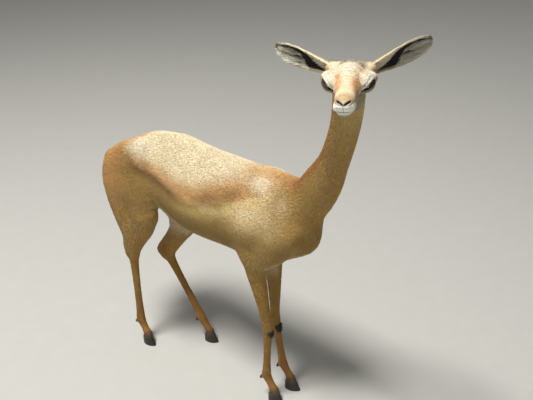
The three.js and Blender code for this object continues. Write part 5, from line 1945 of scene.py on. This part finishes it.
class Shader:
    """One material's nodes."""

    def __init__(self, name: str) -> None:
        """Starts from the Principled shader.

        Args:
            name: the material's name.
        """
        self.material = bpy.data.materials.new(name)
        self.material.use_nodes = True
        self.nodes, self.links = self.material.node_tree.nodes, self.material.node_tree.links
        self.surface = self.nodes["Principled BSDF"]

    def add(self, kind: str, settings: dict[str, object], inputs: "dict | list", output: int | str = 0) -> Value:
        """Adds a node.

        Args:
            kind: the node's type.
            settings: its own settings, set first.
            inputs: numbers, vectors or values for its sockets, by place or by name.
            output: which output to return.

        Returns:
            That output.
        """
        node = self.nodes.new(kind)
        for key, setting in settings.items():
            setattr(node, key, setting)
        pairs = inputs.items() if isinstance(inputs, dict) else enumerate(inputs)
        for key, given in pairs:
            if isinstance(given, Value):
                self.links.new(given.socket, node.inputs[key])
            else:
                node.inputs[key].default_value = given
        return Value(self, node.outputs[output])

    def tone(self) -> Value:
        """The painted colour of each point."""
        return self.add("ShaderNodeAttribute", {"attribute_name": "Tone"}, {}, "Color")

    def place(self) -> Value:
        """Object coordinates."""
        return self.add("ShaderNodeTexCoord", {}, {}, "Object")

    def noise(self, scale: float, detail: float = 2.0, stretch: Triple | None = None) -> Value:
        """Noise from 0 to 1 over object coordinates, stretched along an axis if asked.

        Args:
            scale: its scale.
            detail: its octaves.
            stretch: scales along the axes, or None.

        Returns:
            The noise.
        """
        where = self.place()
        if stretch is not None:
            where = self.add("ShaderNodeMapping", {}, {"Vector": where, "Scale": stretch})
        return self.add("ShaderNodeTexNoise", {}, {"Vector": where, "Scale": scale, "Detail": detail}, "Fac")

    def shade(self, colour: Value, amount: Value) -> Value:
        """A colour times a number."""
        return self.add("ShaderNodeVectorMath", {"operation": "SCALE"}, {"Vector": colour, "Scale": amount}, "Vector")

    def feed(self, name: str, given: Value | float | tuple[float, ...]) -> None:
        """Sets or links one input of the Principled shader.

        Args:
            name: the input.
            given: a value to link, or a number or colour to set.
        """
        if isinstance(given, Value):
            self.links.new(given.socket, self.surface.inputs[name])
        else:
            self.surface.inputs[name].default_value = given

    def bump(self, height: Value, distance: float, strength: float = 1.0) -> None:
        """Raises the normal by a height map, in metres."""
        inputs = {"Height": height, "Distance": distance, "Strength": strength}
        self.feed("Normal", self.add("ShaderNodeBump", {}, inputs, "Normal"))


@dataclass(frozen=True)
class CoatFinish:
    """Short glossy hair: painted colour broken by fine streaks, a soft sheen and a fine nap."""

    name: str = "coat_finish"
    roughness: float = 0.62
    nap: float = 0.0007

    def make(self) -> Material:
        """Builds the material.

        Returns:
            The material.
        """
        s = Shader(self.name)
        fine = s.noise(520.0, 3.0)
        broad = s.noise(70.0, 2.0)
        s.feed("Base Color", s.shade(s.tone(), 0.86 + 0.18 * fine + 0.10 * broad))
        s.feed("Roughness", self.roughness + 0.14 * (fine - 0.5))
        s.feed("Specular IOR Level", 0.32)
        s.feed("Sheen Weight", 0.07)
        s.feed("Sheen Roughness", 0.5)
        s.bump(fine + 0.6 * broad, self.nap)
        return s.material


@dataclass(frozen=True)
class HairFinish:
    """Separate hairs: painted colour and a little gloss."""

    name: str = "hair_finish"
    roughness: float = 0.5

    def make(self) -> Material:
        """Builds the material.

        Returns:
            The material.
        """
        s = Shader(self.name)
        fine = s.noise(900.0, 1.0)
        s.feed("Base Color", s.shade(s.tone(), 0.9 + 0.2 * fine))
        s.feed("Roughness", self.roughness + 0.1 * fine)
        s.feed("Specular IOR Level", 0.35)
        s.feed("Sheen Weight", 0.1)
        return s.material


@dataclass(frozen=True)
class WetFinish:
    """The eye: painted iris under a clear wet coat."""

    name: str = "eye_finish"

    def make(self) -> Material:
        """Builds the material.

        Returns:
            The material.
        """
        s = Shader(self.name)
        s.feed("Base Color", s.shade(s.tone(), 0.9 + 0.2 * s.noise(1500.0, 1.0)))
        s.feed("Roughness", 0.16)
        s.feed("Coat Weight", 1.0)
        s.feed("Coat Roughness", 0.02)
        return s.material


@dataclass(frozen=True)
class HornFinish:
    """Hoof horn: painted colour, fine growth lines and scuffs."""

    name: str = "horn_finish"

    def make(self) -> Material:
        """Builds the material.

        Returns:
            The material.
        """
        s = Shader(self.name)
        lines = s.noise(260.0, 2.0, (0.25, 0.25, 2.4))
        scuff = s.noise(420.0, 3.0)
        s.feed("Base Color", s.shade(s.tone(), 0.8 + 0.3 * lines + 0.15 * scuff))
        s.feed("Roughness", 0.34 + 0.28 * scuff)
        s.bump(lines + 0.4 * scuff, 0.0006)
        return s.material


@dataclass(frozen=True)
class FloorFinish:
    """A plain pale studio floor."""

    name: str = "floor_finish"

    def make(self) -> Material:
        """Builds the material.

        Returns:
            The material.
        """
        s = Shader(self.name)
        grain = s.noise(14.0, 3.0)
        s.feed("Base Color", s.add("ShaderNodeMix", {"data_type": "RGBA"},
                                   {0: grain, 6: (0.56, 0.56, 0.54, 1), 7: (0.60, 0.60, 0.58, 1)}, 2))
        s.feed("Roughness", 0.8)
        return s.material


# Studio


@dataclass(frozen=True)
class Lamp:
    """A soft square light: its power in watts, its width, where it hangs and what it faces, in metres."""

    name: str
    power: float
    size: float
    at: Triple
    aim: Triple


@dataclass
class Studio:
    """Floor, lights and the camera at the photograph's angle."""

    place: Placement
    azimuth: float = 36.4
    elevation: float = 27.5
    roll: float = -1.1
    position: Triple = (1186.0, -1368.0, 1655.0)
    focal: float = 41.74
    sensor: float = 36.0
    sight: float = 400.0
    floor_half: float = 90.0
    lamps: tuple[Lamp, ...] = (Lamp("key", 480.0, 1.7, (-0.7, -1.9, 6.5), (0.0, 0.0, 0.8)),
                               Lamp("fill", 7.0, 2.4, (2.4, -2.4, 2.0), (0.0, 0.0, 0.7)))
    lamp_colour: Triple = (1.0, 0.975, 0.92)
    sky_colour: tuple[float, ...] = (1.0, 0.985, 0.93, 1.0)
    sky_strength: float = 0.22

    def build(self) -> None:
        """Makes each in turn."""
        self._floor()
        self._lights()
        self._camera()

    def _floor(self) -> None:
        """A wide floor at the claws' level."""
        mesh = bpy.data.meshes.new("studio_floor")
        r = self.floor_half
        mesh.from_pydata([(-r, -r, 0), (r, -r, 0), (r, r, 0), (-r, r, 0)], [], [(0, 1, 2, 3)])
        mesh.materials.append(FloorFinish().make())
        show("studio_floor", mesh)

    def _lights(self) -> None:
        """A large soft key from above, a weak fill from the camera's side, and a pale sky."""
        for lamp in self.lamps:
            data = bpy.data.lights.new(lamp.name, "AREA")
            data.energy, data.size, data.color = lamp.power, lamp.size, self.lamp_colour
            light = show(lamp.name, data)
            light.location = lamp.at
            light.rotation_euler = (Vector(lamp.aim) - Vector(lamp.at)).to_track_quat("-Z", "Y").to_euler()
        world = bpy.data.worlds.new("sky")
        world.use_nodes = True
        sky = world.node_tree.nodes["Background"]
        sky.inputs["Color"].default_value = self.sky_colour
        sky.inputs["Strength"].default_value = self.sky_strength
        bpy.context.scene.world = world
        bpy.context.scene.view_settings.view_transform = "Standard"

    def _camera(self) -> None:
        """Turned to the azimuth and elevation, then rolled."""
        az, el, roll = (math.radians(v) for v in (self.azimuth, self.elevation, self.roll))
        back = np.array([math.sin(az) * math.cos(el), -math.cos(az) * math.cos(el), math.sin(el)])
        right = np.array([math.cos(az), math.sin(az), 0.0])
        up = np.cross(back, right)
        right, up = math.cos(roll) * right + math.sin(roll) * up, math.cos(roll) * up - math.sin(roll) * right
        lens = bpy.data.cameras.new("camera")
        lens.lens, lens.sensor_width, lens.clip_end = self.focal, self.sensor, self.sight
        camera = show("camera", lens)
        matrix = np.eye(4)
        matrix[:3, 0], matrix[:3, 1], matrix[:3, 2] = right, up, back
        matrix[:3, 3] = self.place.world(np.asarray(self.position))
        camera.matrix_world = Matrix(matrix.tolist())
        bpy.context.scene.camera = camera


FLESH_NODES = (
    "rump", "barrel", "chest", "neck_lower", "neck_upper", "head", "tail",
    *(f"{part}_{side}" for part in ("forearm", "foreshank", "forefoot", "thigh", "gaskin", "hindshank", "hindfoot")
      for side in ("left", "right")),
)


def report(*pieces: Piece) -> None:
    """Logs each piece with its number of triangles."""
    for piece in pieces:
        LOG.info("%s: %d triangles", piece.name, len(piece.data.polygons))


def main() -> None:
    """Builds each piece in order, and reports it."""
    logging.basicConfig(level=logging.INFO, format="%(relativeCreated)d %(message)s")
    flesh = Flesh()
    place = Placement.from_frame(flesh)
    studio = Studio(place)
    studio.build()
    coat, hair, wet, horn = CoatFinish().make(), HairFinish().make(), WetFinish().make(), HornFinish().make()
    skin = Skin(flesh)
    skin.build()
    anatomy, markings_and_light = Anatomy(flesh), MarkingsAndLight(flesh)
    surface = Surface(skin.points, skin.faces)
    shares = anatomy.shares(skin.points)
    surface.tones = markings_and_light.paint(skin.points, surface.normals(), shares)
    body = surface.make("skin", place, coat, "coat")
    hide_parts(*FLESH_NODES)
    report(body)
    ears = Ears(flesh, place).build(coat, hair)
    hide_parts("ear_left")
    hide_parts("ear_right")
    report(*ears)
    eyes = Eyes(flesh, place).build(wet, hair)
    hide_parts("eye_left")
    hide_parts("eye_right")
    report(*eyes)
    for piece in Claws(place).build(horn):
        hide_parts(piece.name.replace("claw", "hoof"))
        report(piece)
    report(*Brushes(flesh, place).build(hair))
    report(*Coat(skin, anatomy, markings_and_light, place).build(coat))


if __name__ == "__main__":
    main()
